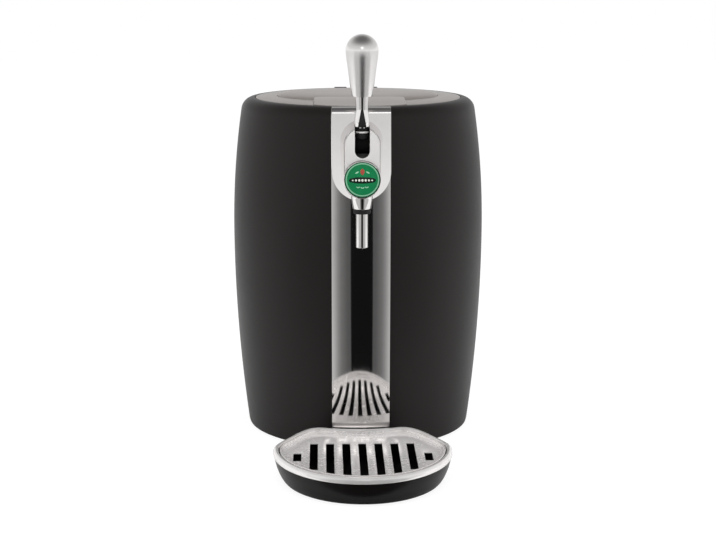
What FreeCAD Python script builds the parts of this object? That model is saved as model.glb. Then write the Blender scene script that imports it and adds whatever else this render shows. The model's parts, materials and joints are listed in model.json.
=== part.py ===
import FreeCAD, Part
import math
import os
import Sketcher

# Chilled dispenser for a 5 litre mini keg: a barrel-shaped housing, a chrome
# front column with a pull tap, a hinged lid and a pull-out drip tray.
# Lengths are millimetres.  Everything is laid out about the barrel's axis,
# with -Y the tap side, and each sub-part's placement then shifts it by AXIS
# so that the origin is under the middle of the whole outline.

doc = FreeCAD.newDocument("KegDispenser")
sheet = doc.addObject("Spreadsheet::Sheet", "dim")

DRIVING = {
    # barrel skin
    "belly_radius": 138.1,
    "belly_z": 222.0,
    "shoulder_inset": 9.9,
    "shoulder_z": 354.4,
    "corner_radius": 13.8,
    "hem_inset": 13.8,
    "hem_z": 7.0,
    "hem_chamfer": 2.3,
    "skin_bottom": 4.0,
    "skin_wall": 3.0,
    "mouth_inset": 15.0,
    # base
    "pan_thick": 3.0,
    "foot_radius": 11.0,
    "foot_inset": 29.3,
    "screw_radius": 1.9,
    "screw_head": 3.6,
    "screw_length": 14.0,
    "boss_radius": 4.5,
    "boss_height": 15.0,
    "boss_inset": 6.3,
    # front column
    "column_width": 60.8,
    "column_proud": 3.0,
    "column_bottom": 28.0,
    "column_rise": 10.6,
    # tap hood and head
    "hood_reach": 25.9,
    "hood_centre_rise": 7.0,
    "hood_wall": 2.5,
    "hood_brow_rise": 5.0,
    "hood_chin_drop": 22.8,
    "hood_lean": 12.0,
    "hood_side": 0.6,
    "head_reach": 26.0,
    "head_width": 36.0,
    "head_root_width": 43.6,
    "head_drop": 1.9,
    "head_wall": 2.6,
    "slot_width": 14.4,
    "slot_depth": 32.5,
    "slot_inset": 21.0,
    "face_inset": 1.6,
    "face_thick": 1.4,
    "badge_drop": 53.5,
    "badge_radius": 18.3,
    "badge_rim_wall": 1.3,
    "badge_depth": 4.5,
    # spout
    "spout_inset": 14.0,
    "spout_radius": 6.0,
    "spout_wall": 1.3,
    "spout_length": 34.7,
    "collar_radius": 10.8,
    "collar_tip_radius": 9.2,
    "collar_sink": 14.0,
    "collar_band": 4.5,
    "collar_height": 15.5,
    "ring_radius": 8.8,
    "ring_height": 5.0,
    "seal_thick": 3.5,
    # beer line from the well to the spout
    "port_drop": 11.5,
    "port_radius": 4.8,
    "port_bore": 3.5,
    "port_recess": 0.8,
    "port_reach": 21.0,
    "line_radius": 3.1,
    "line_setback": 20.0,
    "line_bend": 12.0,
    "port_mouth_length": 14.0,
    # tap lever and pinch valve
    "pivot_inset": 12.0,
    "pivot_drop": 18.5,
    "pivot_pin_radius": 2.0,
    "cam_radius": 7.0,
    "cam_throw": 3.0,
    "cam_phase": 20.0,
    "cam_width": 12.6,
    "stem_foot_radius": 5.7,
    "stem_top_radius": 7.0,
    "skirt_radius": 8.3,
    "skirt_rise": 22.8,
    "skirt_height": 9.5,
    "stem_reach": 49.0,
    "grip_foot_radius": 10.2,
    "grip_waist_radius": 12.1,
    "grip_waist_rise": 10.5,
    "grip_radius": 16.3,
    "grip_crown_rise": 43.9,
    "cheek_gap": 15.0,
    "cheek_thick": 3.0,
    "cheek_rise": 12.0,
    "cheek_drop": 31.0,
    "chassis_nose": 18.0,
    "chassis_web": 4.0,
    "anvil_drop": 8.0,
    "cam_gap": 0.38,
    "slider_height": 22.0,
    # keg well and cooling
    "well_y": 8.0,
    "well_radius": 88.0,
    "well_wall": 1.5,
    "well_floor": 72.0,
    "flange_width": 8.0,
    "notch_half": 12.0,
    "foam_inset": 6.2,
    "foam_floor": 12.0,
    "foam_gap": 2.0,
    "cold_thick": 8.5,
    "cold_width": 44.0,
    "cold_low": 125.0,
    "cold_height": 50.0,
    "peltier_side": 40.0,
    "peltier_thick": 4.0,
    "sink_width": 60.0,
    "sink_height": 80.0,
    "sink_base": 4.0,
    "fin_depth": 13.0,
    "fin_thick": 2.0,
    "fan_side": 60.0,
    "fan_depth": 11.0,
    "fan_bore": 28.0,
    "fan_hub": 11.0,
    "fan_shaft": 1.5,
    "fan_z": 150.0,
    "probe_radius": 2.5,
    "probe_length": 24.0,
    # top deck
    "deck_drop": 8.4,
    "deck_thick": 3.0,
    "deck_rim_thick": 2.5,
    "deck_rim_drop": 4.3,
    "deck_ledge": 3.0,
    # lid
    "lid_rise": 11.9,
    "lid_wall": 2.5,
    "lid_seal_gap": 2.5,
    "dome_half_x": 88.0,
    "dome_half_y": 66.5,
    "dome_rear_shift": 6.5,
    "dome_rise": 4.4,
    "liner_thick": 2.5,
    "gasket_inset": 2.5,
    "gasket_width": 5.0,
    "button_width": 96.4,
    "button_rear_y": 50.0,
    "button_thick": 4.6,
    "button_travel": 3.0,
    "button_round": 8.0,
    "hook_width": 16.0,
    "hook_inset": 4.4,
    "hook_thick": 3.0,
    "hook_lip": 0.8,
    "spring_radius": 3.0,
    "spring_x": 34.0,
    "spring_inset": 36.6,
    "hinge_drop": 2.6,
    "hinge_radius": 3.2,
    "hinge_pin_radius": 1.5,
    "hinge_half": 25.0,
    "knuckle_half": 10.6,
    # rear panel
    "panel_width": 104.0,
    "panel_bottom": 24.0,
    "panel_top": 226.0,
    "vent_width": 62.0,
    "vent_height": 4.0,
    "vent_pitch": 9.0,
    "vent_low": 108.0,
    "vent_count": 12.0,
    "service_z": 46.0,
    "switch_x": 26.0,
    "switch_width": 22.0,
    "switch_height": 14.0,
    "rocker_swing_radius": 9.0,
    "axle_radius": 1.0,
    "gland_x": 26.0,
    "gland_radius": 7.0,
    "gland_flange": 10.0,
    "gland_bore": 3.6,
    # electronics
    "board_z": 18.0,
    "board_thick": 1.6,
    "board_width": 84.0,
    "board_depth": 60.0,
    "board_y": 10.0,
    "post_radius": 3.0,
    "core_width": 30.0,
    "core_depth": 28.0,
    "core_height": 26.0,
    "capacitor_radius": 6.0,
    "capacitor_height": 22.0,
    "control_board_y": 62.0,
    "control_board_width": 60.0,
    "control_board_height": 46.0,
    # drip tray
    "tray_depth_rear": 63.0,
    "tray_radius": 90.0,
    "tray_bottom": 1.0,
    "tray_top": 31.0,
    "rim_height": 6.5,
    "rim_width": 6.0,
    "tray_gap": 9.9,
    "plinth_setback": 4.2,
    "bowl_wall": 2.4,
    "bowl_floor_shrink": 9.5,
    "grille_thick": 1.6,
    "grille_border": 1.8,
    "rest_radius": 4.0,
    "rest_x": 55.0,
    "rest_spread": 30.0,
    "grille_lip_drop": 1.4,
    "slat_pitch": 16.6,
    "slat_gap": 8.2,
    "slat_pairs": 3.0,
    "slot_margin": 14.0,
    "slot_rear": 28.0,
    "end_slot_rear": 4.0,
    "end_slot_front": 34.0,
    "tab_half": 20.0,
    "tab_low": 10.0,
    "tab_thick": 4.0,
    "tab_inset": 12.3,
    # fits
    "running": 0.06,
    "snug": 0.05,
    "slip": 0.3,
    "seam": 0.4,
}

# Sizes that follow from others, as formulas of the same sheet.
DERIVED = {
    "shoulder_radius": "belly_radius - shoulder_inset",
    "hem_radius": "belly_radius - hem_inset",
    "mouth_radius": "shoulder_radius - mouth_inset",
    "foot_circle": "hem_radius - foot_inset",
    "boss_circle": "hem_radius - boss_inset",
    "column_top": "shoulder_z + column_rise",
    "hood_front": "belly_radius + hood_reach",
    "head_front": "hood_front + head_reach",
    "head_top_z": "shoulder_z - head_drop",
    "badge_z": "head_top_z - badge_drop",
    "slot_bottom_z": "head_top_z - slot_depth",
    "slot_back": "head_front - slot_inset",
    "hood_centre_z": "badge_z + hood_centre_rise",
    "hood_brow_z": "head_top_z + hood_brow_rise",
    "hood_chin_z": "badge_z - hood_chin_drop",
    "spout_y": "head_front - spout_inset",
    "collar_top": "badge_z - collar_sink",
    "collar_cone_z": "collar_top - collar_band",
    "collar_bottom": "collar_top - collar_height",
    "ring_bottom": "collar_bottom - ring_height",
    "spout_bottom": "ring_bottom - spout_length",
    "port_z": "well_top - port_drop",
    "port_inner_y": "well_radius + well_y + port_recess",
    "port_outer_y": "mouth_radius + port_reach",
    "line_start_y": "port_inner_y + port_mouth_length",
    "line_drop_y": "pivot_y - line_setback",
    "pivot_y": "head_front - pivot_inset",
    "pivot_z": "head_top_z - pivot_drop",
    "stem_top_z": "pivot_z + stem_reach",
    "grip_waist_z": "stem_top_z + grip_waist_rise",
    "grip_crown_z": "stem_top_z + grip_crown_rise",
    "cheek_top": "pivot_z + cheek_rise",
    "cheek_bottom": "pivot_z - cheek_drop",
    "anvil_top": "pivot_z - anvil_drop",
    "slider_thick": ("pivot_y - cam_throw * cos(cam_phase) - cam_radius - cam_gap -"
                     " line_drop_y - line_radius - slip"),
    "slider_z": "anvil_top",
    "well_top": "deck_z + deck_thick + well_wall",
    "well_flange": "well_radius + flange_width",
    "foam_radius": "mouth_radius - foam_inset",
    "foam_bottom": "well_floor - foam_floor",
    "foam_top": "deck_z - foam_gap",
    "cold_y": "well_radius + well_wall - well_y + cold_thick",
    "deck_z": "shoulder_z - deck_drop",
    "deck_rim_inner": "mouth_radius + slip",
    "deck_rim_outer": "deck_rim_inner + deck_rim_thick",
    "deck_rim_top": "lid_top - deck_rim_drop",
    "deck_radius": "shoulder_radius - skin_wall - 2 * slip",
    "deck_hole": "well_radius + deck_ledge",
    "lid_radius": "mouth_radius - 2 * slip",
    "lid_top": "shoulder_z + lid_rise",
    "lid_skirt_bottom": "well_top + lid_seal_gap",
    "gasket_inner": "well_radius + gasket_inset",
    "gasket_outer": "gasket_inner + gasket_width",
    "hook_front": "lid_radius - hook_inset",
    "spring_y": "lid_radius - spring_inset",
    "hinge_y": "lid_radius + hinge_radius + seam",
    "hinge_z": "lid_top - hinge_drop",
    "tray_rear_radius": "belly_radius + tray_gap",
    "tray_y": "tray_rear_radius + tray_depth_rear",
    "grille_z": "tray_top - rim_height",
    "grille_lip_top": "tray_top - grille_lip_drop",
    "slot_reach": "tray_radius - slot_margin",
    "tab_reach_y": "hem_radius - tab_inset",
}

cells = list(DRIVING.items()) + [(alias, f"={formula}") for alias, formula in DERIVED.items()]
for row, (alias, value) in enumerate(cells, 1):
    sheet.set(f"A{row}", alias)
    sheet.setAlias(f"B{row}", alias)
for row, (alias, value) in enumerate(cells, 1):
    sheet.set(f"B{row}", str(value))
doc.recompute()

# Places worked out from the driving sizes, as expressions of the sheet.
AXIS = "((dim.tray_y + dim.tray_radius - dim.belly_radius) / 2)"
UPPER_R = ("(((dim.shoulder_z - dim.belly_z)^2 + (dim.belly_radius - dim.shoulder_radius)^2)"
           " / (2 * (dim.belly_radius - dim.shoulder_radius)))")
LOWER_R = ("(((dim.belly_z - dim.hem_z)^2 + (dim.belly_radius - dim.hem_radius)^2)"
           " / (2 * (dim.belly_radius - dim.hem_radius)))")
UPPER_X = f"(dim.belly_radius - {UPPER_R})"
LOWER_X = f"(dim.belly_radius - {LOWER_R})"
CORNER_X = (f"(dim.shoulder_radius - dim.corner_radius"
            f" * (dim.shoulder_radius - {UPPER_X}) / {UPPER_R})")
CORNER_Z = (f"(dim.shoulder_z - dim.corner_radius"
            f" * (dim.shoulder_z - dim.belly_z) / {UPPER_R})")
PAN_TOP = "(dim.skin_bottom + dim.pan_thick)"
PLINTH_TOP = "(dim.column_bottom - dim.slip)"
HEAD_TOP_C = "(dim.head_top_z - dim.head_width / 2)"
PELTIER_Y = "(dim.cold_y + dim.peltier_thick)"
SINK_Y = f"({PELTIER_Y} + dim.sink_base)"
FAN_Y = f"({SINK_Y} + dim.fin_depth + 0.2)"
DECK_TOP = "(dim.deck_z + dim.deck_thick)"
HEAD_ROOT = "(dim.hood_front - dim.hood_lean)"

# Generous ends for blocks and rods that only cut or window another piece.
FRONT = ("-dim.belly_radius - 25", "-dim.mouth_radius + 20")
REAR = ("dim.mouth_radius - 20", "dim.belly_radius + 15")
THROUGH = "80"
HIGH = "(dim.lid_top + 12)"

parts = {}


# ---------------------------------------------------------------- helpers

def number(text):
    """The value of an expression of the sheet."""
    return float(sheet.evalExpression(text))


def bind(obj, sizes):
    for prop, text in sizes.items():
        obj.setExpression(prop, text)
    return obj


def at(obj, x="0", y="0", z="0"):
    return bind(obj, {"Placement.Base.x": x, "Placement.Base.y": y, "Placement.Base.z": z})


def box(name, x, y, z):
    """A block between two expressions on each axis."""
    obj = doc.addObject("Part::Box", name)
    bind(obj, {"Length": f"({x[1]}) - ({x[0]})", "Width": f"({y[1]}) - ({y[0]})",
               "Height": f"({z[1]}) - ({z[0]})"})
    return at(obj, x[0], y[0], z[0])


def slab(name, half, y, z):
    """A block that is symmetrical about the middle plane."""
    return box(name, (f"-({half})", half), y, z)


def rod(name, radius, length, x="0", y="0", z="0", along="Z"):
    obj = doc.addObject("Part::Cylinder", name)
    if along == "X":
        obj.Placement.Rotation = FreeCAD.Rotation(FreeCAD.Vector(0, 1, 0), 90)
    if along == "Y":
        obj.Placement.Rotation = FreeCAD.Rotation(FreeCAD.Vector(1, 0, 0), -90)
    bind(obj, {"Radius": radius, "Height": length})
    return at(obj, x, y, z)


def gather(name, shapes, kind="Part::MultiFuse"):
    if len(shapes) == 1:
        return shapes[0]
    obj = doc.addObject(kind, name)
    if kind == "Part::Compound":
        obj.Links = shapes
    else:
        obj.Shapes = shapes
    return obj


def cut(name, base, *tools):
    obj = doc.addObject("Part::Cut", name)
    obj.Base = base
    obj.Tool = gather(name + "_tools", list(tools))
    return obj


def common(name, first, second):
    return gather(name, [first, second], "Part::MultiCommon")


def fuse(name, *shapes):
    return gather(name, list(shapes))


def sub_part(name, obj, y="0", x="0", z="0"):
    """Names a finished sub-part and puts it in the part's own frame."""
    if obj.TypeId in ("Part::Box", "Part::Cylinder"):
        piece = obj
        obj = doc.addObject("Part::Compound", name + "_set")
        obj.Links = [piece]
    obj.Label = name
    at(obj, x, f"{AXIS} + ({y})", z)
    parts[name] = obj
    return obj


def new_body(name):
    return doc.addObject("PartDesign::Body", name + "_body")


def sketch(body, role, loops, offset="0"):
    """Closed loops on one origin plane of the body.

    A corner is (x, y); (x, y, cx, cy, ccw) is reached by an arc about (cx, cy).
    """
    flat = body.newObject("Sketcher::SketchObject", body.Name + "_sketch")
    plane = [f for f in body.Origin.OriginFeatures if f.Role == role][0]
    flat.AttachmentSupport = (plane, [""])
    flat.MapMode = "FlatFace"
    flat.setExpression("AttachmentOffset.Base.z", offset)

    def pin_down(kind, geo, pos, text):
        index = flat.addConstraint(Sketcher.Constraint(kind, -1, 1, geo, pos, number(text)))
        flat.setExpression(f"Constraints[{index}]", text)

    for loop in loops:
        first = flat.GeometryCount
        count = len(loop)
        corners = [(number(p[0]), number(p[1])) for p in loop]
        for i in range(count):
            begin, end = corners[i], corners[(i + 1) % count]
            target = loop[(i + 1) % count]
            if len(target) == 2:
                edge = Part.LineSegment(FreeCAD.Vector(*begin, 0), FreeCAD.Vector(*end, 0))
            else:
                centre = (number(target[2]), number(target[3]))
                angles = [math.atan2(p[1] - centre[1], p[0] - centre[0]) for p in (begin, end)]
                if not target[4]:
                    angles.reverse()
                circle = Part.Circle(FreeCAD.Vector(*centre, 0), FreeCAD.Vector(0, 0, 1),
                                     math.dist(begin, centre))
                edge = Part.ArcOfCircle(circle, *angles)
            flat.addGeometry(edge, False)

        def ends(i):
            target = loop[(i + 1) % count]
            return (2, 1) if len(target) == 5 and not target[4] else (1, 2)

        for i in range(count):
            after = (i + 1) % count
            flat.addConstraint(Sketcher.Constraint("Coincident", first + i, ends(i)[1],
                                                   first + after, ends(after)[0]))
        for i, point in enumerate(loop):
            start = ends(i)[0]
            if len(point) == 2:
                pin_down("DistanceX", first + i, start, point[0])
                pin_down("DistanceY", first + i, start, point[1])
                continue
            # the corner at an arc's end already lies on its circle
            reach = (abs(corners[i][0] - number(point[2])), abs(corners[i][1] - number(point[3])))
            free_axis = 1 if reach[0] > reach[1] else 0
            pin_down(("DistanceX", "DistanceY")[free_axis], first + i, start, point[free_axis])
            arc = first + (i - 1) % count
            pin_down("DistanceX", arc, 3, point[2])
            pin_down("DistanceY", arc, 3, point[3])
    return flat


def pad(body, flat, length, taper=None, reverse=False):
    feature = body.newObject("PartDesign::Pad", body.Name + "_pad")
    feature.Profile = flat
    feature.Reversed = reverse
    feature.setExpression("Length", length)
    if taper:
        feature.setExpression("TaperAngle", taper)
    return feature


def revolve(body, flat, angle=360.0, reverse=False):
    feature = body.newObject("PartDesign::Revolution", body.Name + "_turn")
    feature.Profile = flat
    feature.ReferenceAxis = (flat, ["V_Axis"])
    feature.Angle = angle
    feature.Reversed = reverse
    return feature


def turned(name, *loops):
    """A turned piece: (radius, height) loops spun about the vertical."""
    body = new_body(name)
    revolve(body, sketch(body, "XZ_Plane", loops))
    return body


def tube(outer, inner, low, high):
    return [(inner, low), (outer, low), (outer, high), (inner, high)]


def stadium(half, low, high):
    """An upright slot outline with round ends about two heights."""
    return [(half, f"({low} + {high}) / 2"), (half, high),
            (f"-({half})", high, "0", high, True), (f"-({half})", low),
            (half, low, "0", low, True)]


# ---------------------------------------------------------------- barrel skin

def skin_loop(grow="0", thick="dim.skin_wall"):
    """The section of the barrel skin: a hem, two long arcs and a rounded shoulder."""
    lip_out = (f"{CORNER_Z} + sqrt((dim.corner_radius + {grow})^2"
               f" - (dim.mouth_radius - {CORNER_X})^2)")
    lip_in = (f"{CORNER_Z} + sqrt((dim.corner_radius + {grow} - {thick})^2"
              f" - (dim.mouth_radius - {CORNER_X})^2)")
    slope_x = f"((dim.shoulder_radius - {UPPER_X}) / {UPPER_R})"
    slope_z = f"((dim.shoulder_z - dim.belly_z) / {UPPER_R})"
    inner = f"({grow} - {thick})"
    return [
        (f"dim.hem_radius - dim.hem_chamfer + {grow}", "dim.skin_bottom"),
        (f"dim.hem_radius + {grow}", "dim.hem_z"),
        (f"dim.belly_radius + {grow}", "dim.belly_z", LOWER_X, "dim.belly_z", True),
        (f"dim.shoulder_radius + {grow} * {slope_x}", f"dim.shoulder_z + {grow} * {slope_z}",
         UPPER_X, "dim.belly_z", True),
        ("dim.mouth_radius", lip_out, CORNER_X, CORNER_Z, True),
        ("dim.mouth_radius", lip_in),
        (f"dim.shoulder_radius + {inner} * {slope_x}", f"dim.shoulder_z + {inner} * {slope_z}",
         CORNER_X, CORNER_Z, False),
        (f"dim.belly_radius + {inner}", "dim.belly_z", UPPER_X, "dim.belly_z", False),
        (f"dim.hem_radius + {inner}", "dim.skin_bottom", LOWER_X, "dim.belly_z", False),
    ]


def skin_band(name, angle=360.0, reverse=False, grow="0", thick="dim.skin_wall"):
    body = new_body(name)
    flat = sketch(body, "YZ_Plane", [skin_loop(grow, thick)])
    revolve(body, flat, angle, reverse)
    return body


BOSS_ANGLES = (-60, 0, 60)


def boss_place(side, turn):
    """Where a shell's screw boss stands, as expressions."""
    return (f"{side} * dim.boss_circle * cos({turn})", f"dim.boss_circle * sin({turn})")


PANEL_GAP_Z = ("dim.panel_bottom - dim.seam", "dim.panel_top + dim.seam")

for side, name in ((1, "right_shell"), (-1, "left_shell")):
    half = skin_band(name, 180.0, side > 0)
    bosses = []
    for turn in BOSS_ANGLES:
        x, y = boss_place(side, turn)
        bosses.append(rod(f"{name}_boss{turn + 60}", "dim.boss_radius", "dim.boss_height",
                          x, y, f"{PAN_TOP}"))
    holes = [rod(f"{name}_pilot{turn + 60}", "dim.screw_radius", "dim.screw_length",
                 *boss_place(side, turn), PAN_TOP) for turn in BOSS_ANGLES]
    shell = fuse(name + "_bossed", half, *bosses)
    openings = [
        slab(name + "_panel_gap", "dim.panel_width / 2 + dim.seam", REAR, PANEL_GAP_Z),
        slab(name + "_plinth_gap", "dim.column_width / 2 + dim.slip", FRONT,
             (PAN_TOP, f"{PLINTH_TOP} + dim.slip")),
        slab(name + "_hinge_gap", "dim.hinge_half + dim.slip",
             ("dim.mouth_radius - dim.corner_radius", "dim.hinge_y + dim.hinge_radius + dim.seam"),
             (DECK_TOP, HIGH)),
        rod(name + "_port_gap", "dim.port_radius + dim.slip", THROUGH, "0", FRONT[0], "dim.port_z", "Y"),
    ]
    sub_part(name, cut(name + "_cut", shell, *openings, *holes))

# ---------------------------------------------------------------- base

pan_radius = "dim.hem_radius - dim.skin_wall - 2 * dim.slip"
pan = turned("base_pan", [("0", "dim.skin_bottom"), (pan_radius, "dim.skin_bottom"),
                          (pan_radius, PAN_TOP), ("0", PAN_TOP)])
pan_holes = [rod(f"pan_hole{side}_{turn + 60}", "dim.screw_radius + 0.2", "dim.pan_thick + 2",
                 *boss_place(side, turn), "dim.skin_bottom - 1")
             for side in (1, -1) for turn in BOSS_ANGLES]
sub_part("base_pan", cut("base_pan_cut", pan, *pan_holes))

for count, turn in enumerate((45, 135, 225, 315), 1):
    foot = rod(f"foot{count}", "dim.foot_radius", "dim.skin_bottom",
               f"dim.foot_circle * cos({turn})", f"dim.foot_circle * sin({turn})")
    sub_part(f"rubber_foot_{count}", foot)

screws = []
for side in (1, -1):
    for turn in BOSS_ANGLES:
        x, y = boss_place(side, turn)
        tag = f"base_screw{side}_{turn + 60}"
        shank = rod(tag + "_shank", "dim.screw_radius", "dim.screw_length + dim.pan_thick - 1",
                    x, y, "dim.skin_bottom")
        head = rod(tag + "_head", "dim.screw_head", "2", x, y, "dim.skin_bottom - 2")
        screws.append(fuse(tag, shank, head))
sub_part("base_screws", gather("base_screw_set", screws, "Part::Compound"))

# the plinth stands on the pan, passes under the column and takes the tray's tab
plinth = common("plinth_block",
                slab("plinth_bar", "dim.column_width / 2", (FRONT[0], "-dim.tab_reach_y + 12"),
                     (PAN_TOP, PLINTH_TOP)),
                rod("plinth_front", "dim.tray_rear_radius - dim.plinth_setback", THROUGH))
plinth_throat = slab("plinth_throat", "dim.tab_half + dim.slip", (FRONT[0], "-dim.tab_reach_y + 6"),
                     ("dim.tab_low - dim.slip", "dim.tab_low + dim.tab_thick + dim.slip"))
sub_part("tray_plinth", cut("tray_plinth_cut", plinth, plinth_throat))

# ---------------------------------------------------------------- front column and tap hood

strip = skin_band("front_column", grow="dim.column_proud", thick="(dim.column_proud - dim.snug)")
column = common("column_strip", strip,
                slab("column_window", "dim.column_width / 2", FRONT, ("dim.column_bottom", "dim.column_top")))
port_path = rod("column_port_gap", "dim.port_radius + dim.slip", THROUGH, "0", FRONT[0], "dim.port_z", "Y")
sub_part("front_column", cut("front_column_cut", column, port_path))


def shield(name, half, low_centre, top, y0, y1):
    """The hood's front outline, square at the top and round below, as a block."""
    body = new_body(name)
    outline = [(half, top), (f"-({half})", top), (f"-({half})", low_centre),
               (half, low_centre, "0", low_centre, True)]
    flat = sketch(body, "XZ_Plane", [outline[1:3] + [outline[3], outline[0]]], y0)
    pad(body, flat, f"{y1} - {y0}")
    return body


def nose(name, inset, half):
    """The hood's side outline, from the column's lip over the brow to the underside."""
    body = new_body(name)
    low = "dim.hood_centre_z - dim.column_width / 2"
    outline = [
        ("-dim.mouth_radius - 8", f"{low} - 4 + {inset}"),
        ("-dim.mouth_radius - 8", f"dim.column_top - {inset}"),
        ("-dim.belly_radius - 1", f"dim.column_top - 0.8 - {inset}"),
        (f"-{HEAD_ROOT} + {inset}", f"dim.hood_brow_z - {inset}"),
        (f"-dim.hood_front + {inset}", f"dim.hood_chin_z + {inset}"),
        ("-dim.belly_radius - 4", f"{low} - 4 + {inset}"),
    ]
    flat = sketch(body, "YZ_Plane", [outline], f"-({half})")
    pad(body, flat, f"2 * ({half})")
    return body


hood_half = "dim.column_width / 2 + dim.hood_side"
front_view = shield("hood_outer", hood_half, "dim.hood_centre_z", "dim.column_top",
                    "dim.mouth_radius + 5", "dim.hood_front + 5")
round_hood = common("hood_solid", front_view, nose("hood_side", "0", f"{hood_half} + 5"))
inner_half = f"{hood_half} - dim.hood_wall"
hollow = common("hood_hollow",
                shield("hood_inner", inner_half, "dim.hood_centre_z", "dim.column_top - dim.hood_wall",
                       "dim.mouth_radius - 5", "dim.hood_front + 5"),
                nose("hood_side_inner", "dim.hood_wall", f"{hood_half} + 5"))
barrel_core = turned("hood_seat", [
    ("0", "dim.belly_z - 20"),
    ("dim.belly_radius + dim.column_proud", "dim.belly_z - 20"),
    ("dim.belly_radius + dim.column_proud", "dim.belly_z"),
    (f"dim.shoulder_radius + dim.column_proud * (dim.shoulder_radius - {UPPER_X}) / {UPPER_R}",
     f"dim.shoulder_z + dim.column_proud * (dim.shoulder_z - dim.belly_z) / {UPPER_R}",
     UPPER_X, "dim.belly_z", True),
    ("dim.mouth_radius", f"{CORNER_Z} + sqrt((dim.corner_radius + dim.column_proud)^2"
     f" - (dim.mouth_radius - {CORNER_X})^2)", CORNER_X, CORNER_Z, True),
    ("0", f"{CORNER_Z} + sqrt((dim.corner_radius + dim.column_proud)^2"
     f" - (dim.mouth_radius - {CORNER_X})^2)")])
chassis_half = "dim.cheek_gap / 2 + dim.cheek_thick"
window_y = ("-dim.hood_front - 3", f"-{HEAD_ROOT} + dim.hood_wall + 5")
hood_window = slab("hood_window", chassis_half, window_y, ("dim.cheek_bottom", "dim.cheek_top"))
line_window = slab("line_window", "dim.line_radius + 1", window_y,
                   ("dim.collar_top - 1", "dim.cheek_bottom + 1"))
sub_part("tap_hood", cut("tap_hood_cut", round_hood, hollow, barrel_core, hood_window, line_window))

# ---------------------------------------------------------------- tap head

HEAD_DEPTH = f"(dim.head_front - {HEAD_ROOT})"
TAPER = f"-atan((dim.head_root_width - dim.head_width) / 2 / {HEAD_DEPTH})"


def head_block(name, half, length, start, low="dim.badge_z"):
    body = new_body(name)
    flat = sketch(body, "XZ_Plane", [stadium(half, low, HEAD_TOP_C)], start)
    pad(body, flat, length, TAPER)
    return body


head_outer = head_block("head_outer", "dim.head_root_width / 2", HEAD_DEPTH, HEAD_ROOT)
head_inner = head_block("head_inner", "dim.head_root_width / 2 - dim.head_wall",
                        f"{HEAD_DEPTH} - dim.head_wall", HEAD_ROOT)
hood_face = nose("hood_face", "0", f"{hood_half} + 5")
SLOT_C = "(dim.slot_bottom_z + dim.slot_width / 2)"
HEAD_AHEAD = "(-dim.head_front - 30)"
lever_slot = fuse("lever_slot",
                  slab("slot_block", "dim.slot_width / 2", ("-dim.head_front - 5", "-dim.slot_back"),
                       (SLOT_C, "dim.head_top_z + 15")),
                  rod("slot_round", "dim.slot_width / 2", "dim.head_front - dim.slot_back + 5",
                      "0", "-dim.head_front - 5", SLOT_C, "Y"))
collar_socket = rod("collar_socket", "dim.collar_radius + dim.seam / 2", THROUGH, "0", "-dim.spout_y",
                    f"dim.collar_top - {THROUGH}")
face_half = "dim.head_width / 2 - dim.face_inset"
face_seat_body = new_body("face_seat")
pad(face_seat_body, sketch(face_seat_body, "XZ_Plane",
                           [stadium(face_half, "dim.badge_z", HEAD_TOP_C)],
                           "dim.head_front - dim.face_thick + 0.4"), "10")
sub_part("tap_head", cut("tap_head_cut", cut("head_on_hood", head_outer, hood_face), head_inner,
                         lever_slot, collar_socket, face_seat_body))

face_body = new_body("face_plate")
pad(face_body, sketch(face_body, "XZ_Plane",
                      [stadium(f"{face_half} - 0.1", "dim.badge_z", HEAD_TOP_C)],
                      "dim.head_front - dim.face_thick + 0.4"), "dim.face_thick")
sub_part("tap_face", cut("tap_face_cut", face_body,
                         slab("face_slot_block", "dim.slot_width / 2", (HEAD_AHEAD, "-dim.hood_front"),
                              (SLOT_C, "dim.head_top_z + 15")),
                         rod("face_slot_round", "dim.slot_width / 2", THROUGH, "0", HEAD_AHEAD, SLOT_C, "Y"),
                         rod("face_badge_gap", "dim.badge_radius + dim.seam / 2", THROUGH, "0", HEAD_AHEAD,
                             "dim.badge_z", "Y")))

badge_back = "-dim.head_front"
badge_cup = cut("badge_cup",
                rod("badge_cup_block", "dim.badge_radius", "dim.badge_depth", "0",
                    f"{badge_back} - dim.badge_depth", "dim.badge_z", "Y"),
                rod("badge_cup_hole", "dim.badge_radius - dim.badge_rim_wall", "dim.badge_depth - 1.2",
                    "0", f"{badge_back} - dim.badge_depth - 0.2", "dim.badge_z", "Y"))
sub_part("badge_rim", badge_cup)
sub_part("badge_disc", rod("badge_disc_rod", "dim.badge_radius - dim.badge_rim_wall - 0.05",
                           "dim.badge_depth - 1.8", "0", f"{badge_back} - dim.badge_depth + 0.4",
                           "dim.badge_z", "Y"))

# ---------------------------------------------------------------- spout

collar = turned("nozzle_collar",
                [("dim.spout_radius + dim.running", "dim.collar_bottom"),
                 ("dim.collar_tip_radius", "dim.collar_bottom"),
                 ("dim.collar_radius", "dim.collar_cone_z"),
                 ("dim.collar_radius", "dim.collar_top"),
                 ("dim.ring_radius", "dim.collar_top"),
                 ("dim.ring_radius", "dim.collar_top - dim.seal_thick"),
                 ("dim.spout_radius + dim.running", "dim.collar_top - dim.seal_thick")])
sub_part("nozzle_collar", collar, "-dim.spout_y")
sub_part("spout_seal", turned("spout_seal", tube("dim.ring_radius - 0.05", "dim.spout_radius + dim.running",
                                                 "dim.collar_top - dim.seal_thick", "dim.collar_top - 0.3")),
         "-dim.spout_y")
sub_part("nozzle_ring", turned("nozzle_ring", tube("dim.ring_radius", "dim.spout_radius + dim.running",
                                                   "dim.ring_bottom", "dim.collar_bottom")),
         "-dim.spout_y")
sub_part("spout_tube", turned("spout_tube", tube("dim.spout_radius", "dim.spout_radius - dim.spout_wall",
                                                 "dim.spout_bottom", "dim.collar_top - 0.5")),
         "-dim.spout_y")

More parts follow.
